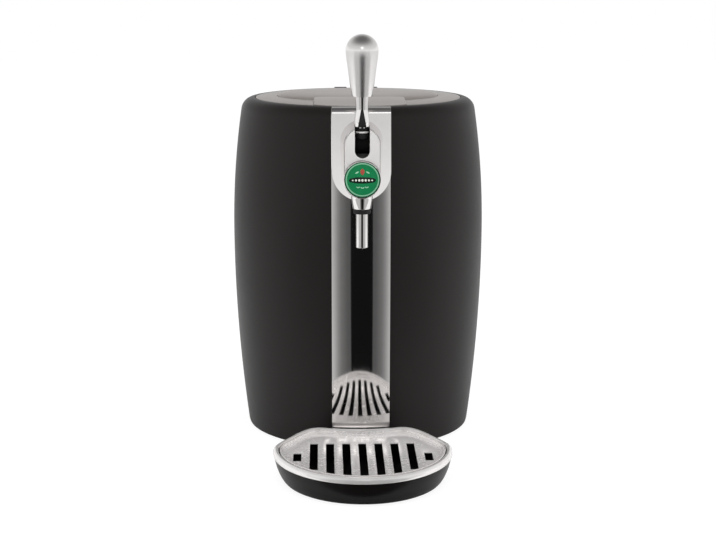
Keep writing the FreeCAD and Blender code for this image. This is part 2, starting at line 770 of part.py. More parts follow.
# the soft line: out of the port, down past the pinch valve, forward to the spout
LINE_LOW_Z = "(dim.cheek_bottom - 1)"
route = [("-dim.line_start_y", "dim.port_z"), ("-dim.line_drop_y", "dim.port_z"),
         ("-dim.line_drop_y", LINE_LOW_Z), ("-dim.spout_y", "dim.collar_top + 3"),
         ("-dim.spout_y", "dim.ring_bottom")]


def pipe_path(points, bend):
    """A wire of straight runs joined by tangent arcs of one radius."""
    spots = [FreeCAD.Vector(0, number(y), number(z)) for y, z in points]
    edges = []
    begin = spots[0]
    for before, corner, after in zip(spots, spots[1:], spots[2:]):
        into = (corner - before).normalize()
        out = (after - corner).normalize()
        setback = bend * math.tan(into.getAngle(out) / 2)
        enter, leave = corner - into * setback, corner + out * setback
        inward = (out - into).normalize()
        centre = corner + inward * math.hypot(bend, setback)
        middle = centre - inward * bend
        edges.append(Part.makeLine(begin, enter))
        edges.append(Part.Arc(enter, middle, leave).toShape())
        begin = leave
    edges.append(Part.makeLine(begin, spots[-1]))
    return Part.Wire(edges)


path = pipe_path(route, number("dim.line_bend"))
ring = Part.Wire(Part.makeCircle(number("dim.line_radius"), path.Vertexes[0].Point,
                                 FreeCAD.Vector(0, -1, 0)))
hose = path.makePipeShell([ring], True, False)
print("beer line volume over section times length:",
      round(hose.Volume / (math.pi * number("dim.line_radius") ** 2 * path.Length), 4))
beer_line = doc.addObject("Part::Feature", "beer_line_shape")
beer_line.Shape = hose
sub_part("beer_line", beer_line)

# the port's wide mouth stops where the line begins, and the line fills the rest
port = cut("port_cut",
           rod("port_rod", "dim.port_radius", "dim.port_outer_y - dim.port_inner_y", "0",
               "-dim.port_outer_y", "dim.port_z", "Y"),
           rod("port_mouth", "dim.port_bore", "dim.line_start_y", "0", "-dim.line_start_y",
               "dim.port_z", "Y"),
           rod("port_hole", "dim.line_radius + dim.running", THROUGH, "0",
               f"-dim.line_start_y - {THROUGH} / 2", "dim.port_z", "Y"))
sub_part("line_port", port)

# ---------------------------------------------------------------- valve chassis, pinch slider and lever

channel_back = "(-dim.line_drop_y + dim.line_radius + dim.slip)"
chassis_y = ("-dim.hood_front - dim.chassis_nose", f"{channel_back} + dim.chassis_web")
chassis = cut("chassis_cut",
              slab("chassis_block", chassis_half, chassis_y, ("dim.cheek_bottom", "dim.cheek_top")),
              slab("chassis_channel", "dim.cheek_gap / 2",
                   (HEAD_AHEAD, channel_back),
                   ("dim.cheek_bottom - 5", "dim.cheek_top + 5")),
              slab("chassis_rear_gap", "dim.cheek_gap / 2", ("-dim.line_drop_y", "-dim.belly_radius"),
                   ("dim.anvil_top", "dim.cheek_top + 5")),
              rod("chassis_pin_hole", "dim.pivot_pin_radius", THROUGH, f"-{THROUGH} / 2", "-dim.pivot_y",
                  "dim.pivot_z", "X"))
sub_part("tap_chassis", chassis)
sub_part("lever_pin", rod("lever_pin_rod", "dim.pivot_pin_radius", f"2 * ({chassis_half})",
                          f"-({chassis_half})", "-dim.pivot_y", "dim.pivot_z", "X"))

slider_back = "-dim.line_drop_y - dim.line_radius - dim.slip"
sub_part("pinch_slider",
         slab("slider_block", "dim.cheek_gap / 2 - dim.slip",
              (f"{slider_back} - dim.slider_thick", slider_back),
              ("dim.slider_z - dim.slider_height / 2", "dim.slider_z + dim.slider_height / 2")))

cam = rod("cam_disc", "dim.cam_radius", "dim.cam_width", "-dim.cam_width / 2",
          "-dim.pivot_y + dim.cam_throw * cos(dim.cam_phase)",
          "dim.pivot_z + dim.cam_throw * sin(dim.cam_phase)", "X")
neck = rod("cam_neck", "dim.stem_foot_radius", "dim.cheek_top - dim.pivot_z", "0", "-dim.pivot_y",
           "dim.pivot_z")
sub_part("lever_hub", cut("lever_hub_cut", fuse("hub_block", cam, neck),
                          rod("hub_bore", "dim.pivot_pin_radius + dim.running", THROUGH, f"-{THROUGH} / 2",
                              "-dim.pivot_y", "dim.pivot_z", "X")))
# a flared skirt on the stem covers the slot and stays clear of the head as it tilts
SKIRT_Z = "(dim.pivot_z + dim.skirt_rise)"
SKIRT_TOP = f"({SKIRT_Z} + dim.skirt_height)"
sub_part("lever_stem",
         turned("lever_stem", [("0", "dim.cheek_top"), ("dim.stem_foot_radius", "dim.cheek_top"),
                               ("dim.stem_foot_radius", SKIRT_Z), ("dim.skirt_radius", SKIRT_Z),
                               ("dim.skirt_radius", f"{SKIRT_Z} + 0.8"),
                               ("dim.stem_foot_radius", SKIRT_TOP),
                               ("dim.stem_top_radius", "dim.stem_top_z"), ("0", "dim.stem_top_z")]),
         "-dim.pivot_y")
sub_part("lever_handle",
         turned("lever_handle", [("0", "dim.stem_top_z"), ("dim.grip_foot_radius - 0.8", "dim.stem_top_z"),
                                 ("dim.grip_foot_radius", "dim.stem_top_z + 1"),
                                 ("dim.grip_waist_radius", "dim.grip_waist_z"),
                                 ("dim.grip_radius", "dim.grip_crown_z"),
                                 ("0", "dim.grip_crown_z + dim.grip_radius",
                                  "0", "dim.grip_crown_z", True)]),
         "-dim.pivot_y")

# ---------------------------------------------------------------- keg well, foam and cooling

well_outer = "dim.well_radius + dim.well_wall"
WELL_FRONT = ("-dim.foam_radius - 10", "-dim.well_radius + 15")
NOTCH_LOW = "(dim.port_z - dim.port_radius - dim.slip)"
well = turned("keg_well", [("0", "dim.well_floor"), (well_outer, "dim.well_floor"),
                           (well_outer, "dim.well_top - dim.well_wall"),
                           ("dim.well_flange", "dim.well_top - dim.well_wall"),
                           ("dim.well_flange", "dim.well_top"), ("dim.well_radius", "dim.well_top"),
                           ("dim.well_radius", "dim.well_floor + dim.well_wall"),
                           ("0", "dim.well_floor + dim.well_wall")])
sub_part("keg_well", cut("keg_well_cut", well,
                         slab("well_notch", "dim.notch_half", WELL_FRONT,
                              (NOTCH_LOW, "dim.well_top + 5"))),
         "-dim.well_y")

foam = turned("insulation_foam", [("0", "dim.foam_bottom"), ("dim.foam_radius", "dim.foam_bottom"),
                                  ("dim.foam_radius", "dim.foam_top"),
                                  (f"{well_outer} + dim.slip", "dim.foam_top"),
                                  (f"{well_outer} + dim.slip", "dim.well_floor - dim.slip"),
                                  ("0", "dim.well_floor - dim.slip")])
cold_z = ("dim.cold_low", "dim.cold_low + dim.cold_height")
foam_cuts = [
    slab("foam_cold_gap", "dim.sink_width / 2 + 2", ("dim.cold_y - 22", "dim.belly_radius"),
         ("dim.fan_z - dim.sink_height / 2 - 2", "dim.fan_z + dim.sink_height / 2 + 2")),
    slab("foam_port_gap", "dim.port_radius + dim.slip", WELL_FRONT, (NOTCH_LOW, "dim.foam_top + 5")),
]
sub_part("insulation_foam", cut("foam_cut", foam, *foam_cuts), "-dim.well_y")

well_core = rod("well_core", well_outer, "dim.well_top", "0", "-dim.well_y")
probe_place = ("dim.cold_width / 4 + 5", "dim.cold_y - dim.probe_radius - 1.5",
               "dim.cold_low + dim.cold_height - dim.probe_length + 4")
sub_part("cold_plate", cut("cold_plate_cut",
                           slab("cold_block", "dim.cold_width / 2", ("dim.cold_y - 40", "dim.cold_y"), cold_z),
                           well_core,
                           rod("probe_hole", "dim.probe_radius + dim.snug", THROUGH, *probe_place)))
sub_part("temperature_probe", rod("probe_rod", "dim.probe_radius", "dim.probe_length", *probe_place))
half_chip = "dim.peltier_side / 2"
sub_part("peltier_module", slab("peltier_block", half_chip, ("dim.cold_y", PELTIER_Y),
                                (f"dim.fan_z - {half_chip}", f"dim.fan_z + {half_chip}")))

sink_z = ("dim.fan_z - dim.sink_height / 2", "dim.fan_z + dim.sink_height / 2")
FIN_COUNT = 10
fins = [box(f"fin{i}",
            (f"-dim.sink_width / 2 + {i} * (dim.sink_width - dim.fin_thick) / {FIN_COUNT - 1}",
             f"-dim.sink_width / 2 + {i} * (dim.sink_width - dim.fin_thick) / {FIN_COUNT - 1} + dim.fin_thick"),
            (f"{SINK_Y} - 0.5", f"{SINK_Y} + dim.fin_depth"), sink_z) for i in range(FIN_COUNT)]
sink_base = slab("sink_base", "dim.sink_width / 2", (PELTIER_Y, SINK_Y), sink_z)
sub_part("heat_sink", fuse("heat_sink_fuse", sink_base, *fins))

FAN_END = f"({FAN_Y} + dim.fan_depth)"
FAN_SCREW = "(dim.fan_side / 2 - 4)"
BLADES = 7
BLADE_START = 12.0
BLADE_PITCH = 48.0
fan_plate = cut("fan_plate",
                slab("fan_block", "dim.fan_side / 2", (FAN_Y, FAN_END),
                     ("dim.fan_z - dim.fan_side / 2", "dim.fan_z + dim.fan_side / 2")),
                rod("fan_hole", "dim.fan_bore", THROUGH, "0", f"{FAN_Y} - 10", "dim.fan_z", "Y"),
                *[rod(f"fan_screw_hole{sx}{sz}", "dim.screw_radius + 2 * dim.snug", THROUGH,
                      f"{sx} * {FAN_SCREW}", f"{FAN_Y} - 10", f"dim.fan_z + {sz} * {FAN_SCREW}", "Y")
                  for sx in (-1, 1) for sz in (-1, 1)])
struts = [slab("fan_strut_z", "1.5", (f"{FAN_END} - 2", FAN_END),
               ("dim.fan_z - dim.fan_bore - 1", "dim.fan_z + dim.fan_bore + 1")),
          slab("fan_strut_x", "dim.fan_bore + 1", (f"{FAN_END} - 2", FAN_END),
               ("dim.fan_z - 1.5", "dim.fan_z + 1.5")),
          rod("fan_stator", "dim.fan_hub", "2", "0", f"{FAN_END} - 2", "dim.fan_z", "Y"),
          rod("fan_spindle", "dim.fan_shaft", "dim.fan_depth - 2", "0", f"{FAN_Y} + 1", "dim.fan_z", "Y")]
sub_part("fan_frame", fuse("fan_frame_fuse", fan_plate, *struts))

blades = []
for i in range(BLADES):
    turn = 360.0 / BLADES * i + BLADE_START
    blade = doc.addObject("Part::Box", f"blade{i}")
    bind(blade, {"Length": "dim.fan_bore - dim.fan_hub - 0.2", "Width": "1.2", "Height": "7.5"})
    pitch = FreeCAD.Rotation(FreeCAD.Vector(1, 0, 0), BLADE_PITCH)
    blade.Placement.Rotation = FreeCAD.Rotation(FreeCAD.Vector(0, 1, 0), turn).multiply(pitch)
    at(blade, f"(dim.fan_hub - 1) * cos({turn:.3f})", f"{FAN_Y} + 7.2",
       f"dim.fan_z - (dim.fan_hub - 1) * sin({turn:.3f})")
    blades.append(blade)
rotor_hub = rod("rotor_hub", "dim.fan_hub", "dim.fan_depth - 3", "0", f"{FAN_Y} + 0.6", "dim.fan_z", "Y")
rotor = cut("rotor_cut", fuse("rotor_fuse", rotor_hub, *blades),
            rod("rotor_bore", "dim.fan_shaft + dim.running", THROUGH, "0", f"{FAN_Y} - 10", "dim.fan_z", "Y"))
sub_part("fan_rotor", rotor)

fan_screws = []
for sx in (-1, 1):
    for sz in (-1, 1):
        place = (f"{sx} * {FAN_SCREW}", f"dim.fan_z + {sz} * {FAN_SCREW}")
        tag = f"fan_screw{sx}{sz}"
        fan_screws.append(fuse(tag, rod(tag + "_shank", "dim.screw_radius", "dim.fan_depth + 0.2",
                                        place[0], f"{SINK_Y} + dim.fin_depth", place[1], "Y"),
                               rod(tag + "_head", "dim.screw_head - dim.seam", "2", place[0], FAN_END,
                                   place[1], "Y")))
sub_part("fan_screws", gather("fan_screw_set", fan_screws, "Part::Compound"))

# ---------------------------------------------------------------- top deck and lid

deck = turned("top_deck", [("dim.deck_hole", "dim.deck_z"), ("dim.deck_radius", "dim.deck_z"),
                           ("dim.deck_radius", DECK_TOP), ("dim.deck_rim_outer", DECK_TOP),
                           ("dim.deck_rim_outer", "dim.deck_rim_top"),
                           ("dim.deck_rim_inner", "dim.deck_rim_top"),
                           ("dim.deck_rim_inner", DECK_TOP), ("dim.deck_hole", DECK_TOP)])
hinge_gap = slab("deck_hinge_gap", "dim.hinge_half + dim.slip", REAR, (DECK_TOP, HIGH))
well_hole = rod("deck_well_hole", f"{well_outer} + dim.slip", THROUGH, "0", "-dim.well_y",
                "dim.deck_z - 20")
sub_part("top_deck", cut("top_deck_cut", deck, hinge_gap, well_hole))

hinge_back = "dim.hinge_y + dim.hinge_radius"
knuckle_gap = slab("knuckle_gap", "dim.knuckle_half + dim.slip",
                   ("dim.hinge_y - dim.hinge_radius - 1", f"{hinge_back} + 1"),
                   ("dim.hinge_z - dim.hinge_radius - 1.2", HIGH))
bracket = cut("hinge_bracket_cut",
              fuse("bracket_block",
                   slab("bracket_base", "dim.hinge_half",
                        ("dim.hinge_y - dim.hinge_radius + dim.seam", hinge_back), (DECK_TOP, "dim.hinge_z")),
                   rod("bracket_knuckle", "dim.hinge_radius", "2 * dim.hinge_half", "-dim.hinge_half",
                       "dim.hinge_y", "dim.hinge_z", "X")),
              knuckle_gap,
              rod("bracket_bore", "dim.hinge_pin_radius", THROUGH, f"-{THROUGH} / 2", "dim.hinge_y",
                  "dim.hinge_z", "X"))
sub_part("hinge_bracket", bracket)
sub_part("hinge_pin", rod("hinge_pin_rod", "dim.hinge_pin_radius", "2 * dim.hinge_half - 1",
                          "-dim.hinge_half + 0.5", "dim.hinge_y", "dim.hinge_z", "X"))

lid_cup = turned("lid_cup", [("0", "dim.lid_top - dim.lid_wall"),
                             ("dim.lid_radius - dim.lid_wall", "dim.lid_top - dim.lid_wall"),
                             ("dim.lid_radius - dim.lid_wall", "dim.lid_skirt_bottom"),
                             ("dim.lid_radius", "dim.lid_skirt_bottom"),
                             ("dim.lid_radius", "dim.lid_top - 0.8"),
                             ("dim.lid_radius - 0.8", "dim.lid_top"), ("0", "dim.lid_top")])


def dome(name, shrink, drop):
    """A low oval crown lofted through three ovals."""
    sections = []
    for index, (inset, rise) in enumerate((("0", "-0.6"), ("2.4", "dim.dome_rise * 0.68"),
                                           ("9", "dim.dome_rise"))):
        outline = doc.addObject("Part::Ellipse", f"{name}_oval{index}")
        bind(outline, {"MajorRadius": f"dim.dome_half_x - {inset} - {shrink}",
                       "MinorRadius": f"dim.dome_half_y - {inset} - {shrink}"})
        at(outline, "0", "dim.dome_rear_shift", f"dim.lid_top + {rise} - {drop}")
        sections.append(outline)
    crown = doc.addObject("Part::Loft", name)
    crown.Sections = sections
    crown.Solid = True
    crown.Ruled = True
    return crown


knuckle = fuse("lid_knuckle",
               rod("knuckle_rod", "dim.hinge_radius", "2 * dim.knuckle_half", "-dim.knuckle_half",
                   "dim.hinge_y", "dim.hinge_z", "X"),
               slab("knuckle_arm", "dim.knuckle_half", ("dim.lid_radius - 1.5", "dim.hinge_y"),
                    ("dim.hinge_z - 2", "dim.hinge_z + 2")))


def button_block(name, half, rear, low, high, corner):
    """The button's outline, with round rear corners, as an upright block."""
    body = new_body(name)
    front = "-dim.lid_radius - 10"
    outline = [(half, front), (half, f"{rear} - {corner}"),
               (f"{half} - {corner}", rear, f"{half} - {corner}", f"{rear} - {corner}", True),
               (f"-({half}) + {corner}", rear),
               (f"-({half})", f"{rear} - {corner}", f"-({half}) + {corner}", f"{rear} - {corner}", True),
               (f"-({half})", front)]
    flat = sketch(body, "XY_Plane", [outline], low)
    pad(body, flat, f"{high} - ({low})")
    return body


half_button = "dim.button_width / 2"
button_low = "(dim.lid_top - dim.button_thick)"
button_well = button_block("button_well", f"{half_button} + dim.slip", "-dim.button_rear_y + dim.slip",
                           f"{button_low} - dim.button_travel - dim.seam", HIGH,
                           "(dim.button_round + dim.slip)")
crowned_lid = cut("crowned_lid", fuse("lid_outer", lid_cup, dome("lid_dome", "0", "0"), knuckle),
                  dome("lid_dome_hollow", "dim.lid_wall", "dim.lid_wall"))
lid_shell = cut("lid_shell_cut", cut("lid_button_seat", crowned_lid, button_well),
                rod("lid_hinge_bore", "dim.hinge_pin_radius + dim.running", THROUGH, f"-{THROUGH} / 2",
                    "dim.hinge_y", "dim.hinge_z", "X"))
sub_part("lid_shell", lid_shell)

LINER_TOP = "(dim.lid_skirt_bottom + dim.liner_thick)"
LID_SPAN = ("dim.deck_z", HIGH)
lid_inside = "dim.lid_radius - dim.lid_wall"
hook_gap = slab("hook_gap", "dim.hook_width / 2 + dim.slip",
                ("-dim.hook_front - dim.slip", "-dim.hook_front + dim.hook_thick + dim.hook_lip + dim.slip"),
                LID_SPAN)
liner = cut("lid_liner_cut",
            turned("lid_liner", [("0", "dim.lid_skirt_bottom"),
                                 (f"{lid_inside} - dim.snug", "dim.lid_skirt_bottom"),
                                 (f"{lid_inside} - dim.snug", LINER_TOP), ("0", LINER_TOP)]),
            hook_gap)
sub_part("lid_liner", liner)
foam_high = f"{button_low} - dim.button_travel - 2 * dim.slip"
lid_foam = cut("lid_foam_cut",
               turned("lid_foam", [("0", LINER_TOP), (f"{lid_inside} - 2", LINER_TOP),
                                   (f"{lid_inside} - 2", foam_high), ("0", foam_high)]),
               slab("foam_hook_gap", "dim.hook_width / 2 + 2",
                    ("-dim.lid_radius", "-dim.hook_front + dim.hook_thick + 2"), LID_SPAN),
               *[rod(f"foam_spring_gap{side}", "dim.spring_radius + 1", THROUGH, f"{side} * dim.spring_x",
                     "-dim.spring_y", "dim.deck_z") for side in (1, -1)])
sub_part("lid_foam", lid_foam)
sub_part("lid_gasket", turned("lid_gasket", tube("dim.gasket_outer", "dim.gasket_inner",
                                                 "dim.well_top + dim.slip", "dim.lid_skirt_bottom")),
         "-dim.well_y")

button_disc = turned("button_disc", [("0", button_low), ("dim.lid_radius - dim.slip", button_low),
                                     ("dim.lid_radius - dim.slip", "dim.lid_top - 0.8"),
                                     ("dim.lid_radius - 1", "dim.lid_top"), ("0", "dim.lid_top")])
button = common("button_plate", button_disc,
                button_block("button_outline", half_button, "-dim.button_rear_y", *LID_SPAN,
                             "dim.button_round"))
sub_part("lid_button", button)
hook_low = f"{DECK_TOP} + 2 * dim.slip + dim.button_travel"
hook = fuse("latch_hook_fuse",
            slab("hook_blade", "dim.hook_width / 2",
                 ("-dim.hook_front", "-dim.hook_front + dim.hook_thick"), (hook_low, button_low)),
            slab("hook_foot", "dim.hook_width / 2",
                 ("-dim.hook_front", "-dim.hook_front + dim.hook_thick + dim.hook_lip"),
                 (hook_low, f"{hook_low} + 1.4")))
sub_part("latch_hook", hook)
springs = [rod(f"button_spring{side}", "dim.spring_radius", f"{button_low} - dim.slip - {LINER_TOP}",
               f"{side} * dim.spring_x", "-dim.spring_y", LINER_TOP) for side in (1, -1)]
sub_part("button_springs", gather("button_spring_set", springs, "Part::Compound"))

# ---------------------------------------------------------------- rear panel and service entries

panel = common("panel_piece", skin_band("rear_panel"),
               slab("panel_window", "dim.panel_width / 2", REAR, ("dim.panel_bottom", "dim.panel_top")))
vents = [slab(f"vent{i}", "dim.vent_width / 2", REAR,
              (f"dim.vent_low + {i} * dim.vent_pitch",
               f"dim.vent_low + {i} * dim.vent_pitch + dim.vent_height"))
         for i in range(int(number("dim.vent_count")))]

def switch_span(shrink):
    """The switch's width and height, less a margin, as ends in x and z."""
    half_x, half_z = f"(dim.switch_width / 2 - {shrink})", f"(dim.switch_height / 2 - {shrink})"
    return ((f"-dim.switch_x - {half_x}", f"-dim.switch_x + {half_x}"),
            (f"dim.service_z - {half_z}", f"dim.service_z + {half_z}"))


hole_x, hole_z = switch_span("1")
switch_hole = box("switch_hole", hole_x, REAR, hole_z)
gland_hole = rod("gland_hole", "dim.gland_radius", THROUGH, "dim.gland_x", REAR[0], "dim.service_z", "Y")
panel_spots = [(sx, z) for sx in (-1, 1) for z in ("dim.panel_bottom + 8", "dim.panel_top - 8")]
panel_screw_x = "(dim.panel_width / 2 - 8)"
panel_holes = [rod(f"panel_hole{i}", "dim.screw_radius + 2 * dim.snug", THROUGH, f"{sx} * {panel_screw_x}",
                   REAR[0], z, "Y")
               for i, (sx, z) in enumerate(panel_spots)]
sub_part("rear_panel", cut("rear_panel_cut", panel, *vents, switch_hole, gland_hole, *panel_holes))


def skin_y(x, z):
    """How far back the skin's face is at a place on the lower barrel."""
    radius = f"({LOWER_X} + sqrt({LOWER_R}^2 - ({z} - dim.belly_z)^2))"
    return f"sqrt({radius}^2 - ({x})^2)"


panel_screws = []
for i, (sx, z) in enumerate(panel_spots):
    back = skin_y(f"({panel_screw_x} - dim.screw_head)", f"({z} + dim.screw_head)")
    shank = rod(f"panel_screw{i}_shank", "dim.screw_radius", "dim.screw_length", f"{sx} * {panel_screw_x}",
                f"{back} + 0.2 - dim.screw_length", z, "Y")
    head = rod(f"panel_screw{i}_head", "dim.screw_head", "2.2", f"{sx} * {panel_screw_x}",
               f"{back} + 2 * dim.snug", z, "Y")
    panel_screws.append(fuse(f"panel_screw{i}", shank, head))
sub_part("rear_panel_screws", gather("panel_screw_set", panel_screws, "Part::Compound"))

switch_y = skin_y("dim.switch_x - dim.switch_width / 2", "dim.service_z + dim.switch_height / 2")
SWITCH_LIP = "2"
SWITCH_CASE = "1.2"
SWITCH_WALL = "2.4"
flange_x, flange_z = switch_span("0")
case_x, case_z = switch_span(SWITCH_CASE)
mouth_z = switch_span(SWITCH_WALL)[1]
pivot_y = f"({switch_y} - 2)"
housing = cut("switch_housing_cut",
              fuse("switch_block",
                   box("switch_flange", flange_x, (f"{switch_y} + 2 * dim.snug", f"{switch_y} + {SWITCH_LIP}"),
                       flange_z),
                   box("switch_case", case_x, (f"{switch_y} - 16", f"{switch_y} + 2 * dim.snug"), case_z)),
              box("switch_mouth", ("-dim.switch_x - dim.rocker_swing_radius",
                                   "-dim.switch_x + dim.rocker_swing_radius"),
                  (f"{switch_y} - 8", f"{switch_y} + 5"), mouth_z),
              rod("switch_axle_hole", "dim.axle_radius", "dim.switch_height - 2", "-dim.switch_x", pivot_y,
                  "dim.service_z - dim.switch_height / 2 + 1"))
sub_part("switch_housing", housing)
rocker_z = switch_span(f"({SWITCH_WALL} + dim.slip)")[1]
rocker_body = new_body("rocker")
rocker_half = "(dim.rocker_swing_radius - 1)"
rocker_flat = sketch(rocker_body, "XY_Plane",
                     [[(f"-{rocker_half}", "-1"), ("-2.5", "-3"), ("2.5", "-3"), (rocker_half, "-1"),
                       (f"{rocker_half}", "4.2"), ("0", "3.2"), (f"-{rocker_half}", "4.2")]], rocker_z[0])
pad(rocker_body, rocker_flat, f"{rocker_z[1]} - ({rocker_z[0]})")
sub_part("power_rocker", cut("power_rocker_cut", rocker_body,
                             rod("rocker_bore", "dim.axle_radius + dim.running", THROUGH, "0", "0",
                                 f"dim.service_z - {THROUGH} / 2")),
         pivot_y, "-dim.switch_x")
sub_part("switch_axle", rod("axle_rod", "dim.axle_radius", f"dim.switch_height - 2 * {SWITCH_CASE}",
                            "-dim.switch_x", pivot_y, case_z[0]))

gland_y = skin_y("dim.gland_x - dim.gland_flange", "dim.service_z + dim.gland_flange")
gland = cut("cord_gland_cut",
            fuse("gland_block",
                 rod("gland_barrel", "dim.gland_radius - 2 * dim.snug", "18", "dim.gland_x", f"{gland_y} - 16",
                     "dim.service_z", "Y"),
                 rod("gland_collar", "dim.gland_flange", "2.6", "dim.gland_x", f"{gland_y} + 2 * dim.snug",
                     "dim.service_z", "Y")),
            rod("gland_bore", "dim.gland_bore", THROUGH, "dim.gland_x", f"{gland_y} - {THROUGH} / 2",
                "dim.service_z", "Y"))
sub_part("cord_gland", gland)

# ---------------------------------------------------------------- electronics under the well

posts = [rod(f"standoff{sx}{sy}", "dim.post_radius", f"dim.board_z - {PAN_TOP}",
             f"{sx} * (dim.board_width / 2 - 5)", f"dim.board_y + {sy} * (dim.board_depth / 2 - 5)", PAN_TOP)
         for sx in (-1, 1) for sy in (-1, 1)]
sub_part("board_standoffs", gather("standoff_set", posts, "Part::Compound"))
BOARD_TOP = "(dim.board_z + dim.board_thick)"
sub_part("power_board", slab("power_board_block", "dim.board_width / 2",
                             ("dim.board_y - dim.board_depth / 2", "dim.board_y + dim.board_depth / 2"),
                             ("dim.board_z", BOARD_TOP)))
sub_part("transformer", box("transformer_block", ("-4 - dim.core_width", "-4"),
                            ("dim.board_y - dim.core_depth / 2", "dim.board_y + dim.core_depth / 2"),
                            (BOARD_TOP, f"{BOARD_TOP} + dim.core_height")))
caps = [rod(f"capacitor{i}", "dim.capacitor_radius", "dim.capacitor_height",
            f"{i} * (2 * dim.capacitor_radius + 3) + 12", "dim.board_y - 12", BOARD_TOP) for i in range(2)]
sub_part("capacitors", gather("capacitor_set", caps, "Part::Compound"))
sub_part("control_board", slab("control_board_block", "dim.control_board_width / 2",
                               ("dim.control_board_y", "dim.control_board_y + dim.board_thick"),
                               (PAN_TOP, f"{PAN_TOP} + dim.control_board_height")))

# ---------------------------------------------------------------- drip tray

RIM_LOW = "(dim.tray_top - dim.rim_height)"


def bowl_block(name, inset, low):
    """The tray's body, turned, narrowing towards a rounded floor."""
    radius = f"dim.tray_radius - {inset}"
    return turned(name, [
        ("0", low), (f"{radius} - dim.bowl_floor_shrink - 4", low),
        (f"{radius} - dim.bowl_floor_shrink - 1", f"{low} + 1.2"),
        (f"{radius} - dim.bowl_floor_shrink + 1.2", f"{low} + 3.6"),
        (f"{radius} - 4.6", f"{low} + 11"), (f"{radius} - 1.4", RIM_LOW), ("0", RIM_LOW)])


def beside_barrel(name, block, extra):
    """Trims a tray piece, which stands about the tray's centre, to the arc round the barrel."""
    arc = rod(name + "_arc", f"dim.tray_rear_radius + {extra}", THROUGH, "0", "dim.tray_y", "-20")
    return cut(name, block, arc)


bowl_outer = beside_barrel("bowl_outer_cut", bowl_block("bowl_outer", "0", "dim.tray_bottom"), "1")
bowl_inner = beside_barrel("bowl_inner_cut",
                           bowl_block("bowl_inner", "dim.bowl_wall", "(dim.tray_bottom + dim.bowl_wall)"),
                           "1 + dim.bowl_wall")
FLOOR = "(dim.tray_bottom + dim.bowl_wall - 0.2)"
rests = [rod(f"grille_rest{sx}{sy}", "dim.rest_radius", f"dim.grille_z - {FLOOR}", f"{sx} * dim.rest_x",
             f"{sy} * dim.rest_spread - 6", FLOOR) for sx in (-1, 1) for sy in (-1, 1)]
tab = slab("tray_tab", "dim.tab_half",
           ("dim.tray_y - dim.tray_rear_radius - 2", "dim.tray_y - dim.tab_reach_y"),
           ("dim.tab_low", "dim.tab_low + dim.tab_thick"))
tray_bowl = fuse("tray_bowl_fuse", cut("bowl_hollow", bowl_outer, bowl_inner), *rests, tab)
sub_part("tray_bowl", tray_bowl, "-dim.tray_y")


def ring_block(name, inset, low, high):
    """A round block inside the tray's rim, trimmed parallel to the rim all round."""
    block = rod(name, f"dim.tray_radius - ({inset})", f"{high} - ({low})", "0", "0", low)
    return beside_barrel(name + "_trim", block, f"({inset})")


rim = cut("tray_rim_cut", ring_block("rim_outer", "0", RIM_LOW, "dim.tray_top"),
          ring_block("rim_inner", "dim.rim_width", f"{RIM_LOW} - 5", "dim.tray_top + 5"))
sub_part("tray_rim", rim, "-dim.tray_y")

fit_in = "dim.rim_width + dim.slip"
grille_top = "(dim.grille_z + dim.grille_thick)"
dish = cut("dish_cut", ring_block("dish_outer", fit_in, "dim.grille_z", "dim.grille_lip_top"),
           ring_block("dish_inner", f"{fit_in} + dim.grille_border", grille_top, "dim.tray_top + 5"))
pairs = int(number("dim.slat_pairs"))
slots = []
for i in range(-pairs - 1, pairs + 2):
    x = f"({i} * dim.slat_pitch)"
    ends = ("-dim.end_slot_front", "-dim.end_slot_rear")
    if abs(i) <= pairs:
        ends = (f"-sqrt(dim.slot_reach^2 - {x}^2)", "dim.slot_rear")
    slots.append(box(f"slot{i + pairs + 1}", (f"{x} - dim.slat_gap / 2", f"{x} + dim.slat_gap / 2"), ends,
                     ("dim.grille_z - 5", "dim.tray_top + 5")))
sub_part("drip_grille", cut("drip_grille_cut", dish, *slots), "-dim.tray_y")

# ---------------------------------------------------------------- check and write

doc.recompute()
faults = [f"{o.Name}: {o.State}" for o in doc.Objects if {"Invalid", "Error"} & set(o.State)]
for name, obj in parts.items():
    if obj.Shape.isNull() or not obj.Shape.isValid() or not obj.Shape.Solids:
        faults.append(f"{name}: its shape is not a valid solid")
if faults:
    raise SystemExit("\n".join(faults))

os.makedirs("parts", exist_ok=True)
for name, obj in parts.items():
    obj.Shape.exportStep(f"parts/{name}.step")
print(len(parts), "sub-parts written")
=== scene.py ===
import json
import math

import bmesh
import bpy
from mathutils import Matrix, Vector


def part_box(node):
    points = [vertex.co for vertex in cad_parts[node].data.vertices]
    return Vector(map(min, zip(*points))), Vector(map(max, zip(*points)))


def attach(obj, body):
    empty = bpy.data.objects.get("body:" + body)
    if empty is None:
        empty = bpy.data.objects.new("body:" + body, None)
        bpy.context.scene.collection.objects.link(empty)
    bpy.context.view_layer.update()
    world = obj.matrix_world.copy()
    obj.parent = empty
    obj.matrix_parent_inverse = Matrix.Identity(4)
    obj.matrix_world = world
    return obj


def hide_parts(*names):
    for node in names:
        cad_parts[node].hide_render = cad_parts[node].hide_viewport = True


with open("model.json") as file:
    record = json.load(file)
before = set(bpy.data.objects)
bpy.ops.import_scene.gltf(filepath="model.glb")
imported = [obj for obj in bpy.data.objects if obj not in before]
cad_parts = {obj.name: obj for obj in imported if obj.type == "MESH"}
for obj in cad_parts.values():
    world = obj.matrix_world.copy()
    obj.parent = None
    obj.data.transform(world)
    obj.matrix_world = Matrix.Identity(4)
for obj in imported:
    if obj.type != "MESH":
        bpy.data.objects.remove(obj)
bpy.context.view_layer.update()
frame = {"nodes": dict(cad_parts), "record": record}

# The studio: a pale floor, soft boxes overhead, at each side and in front, and
# a dark flag before the tray, which only mirrors see. It gives the front column
# its black middle and its grey sides.


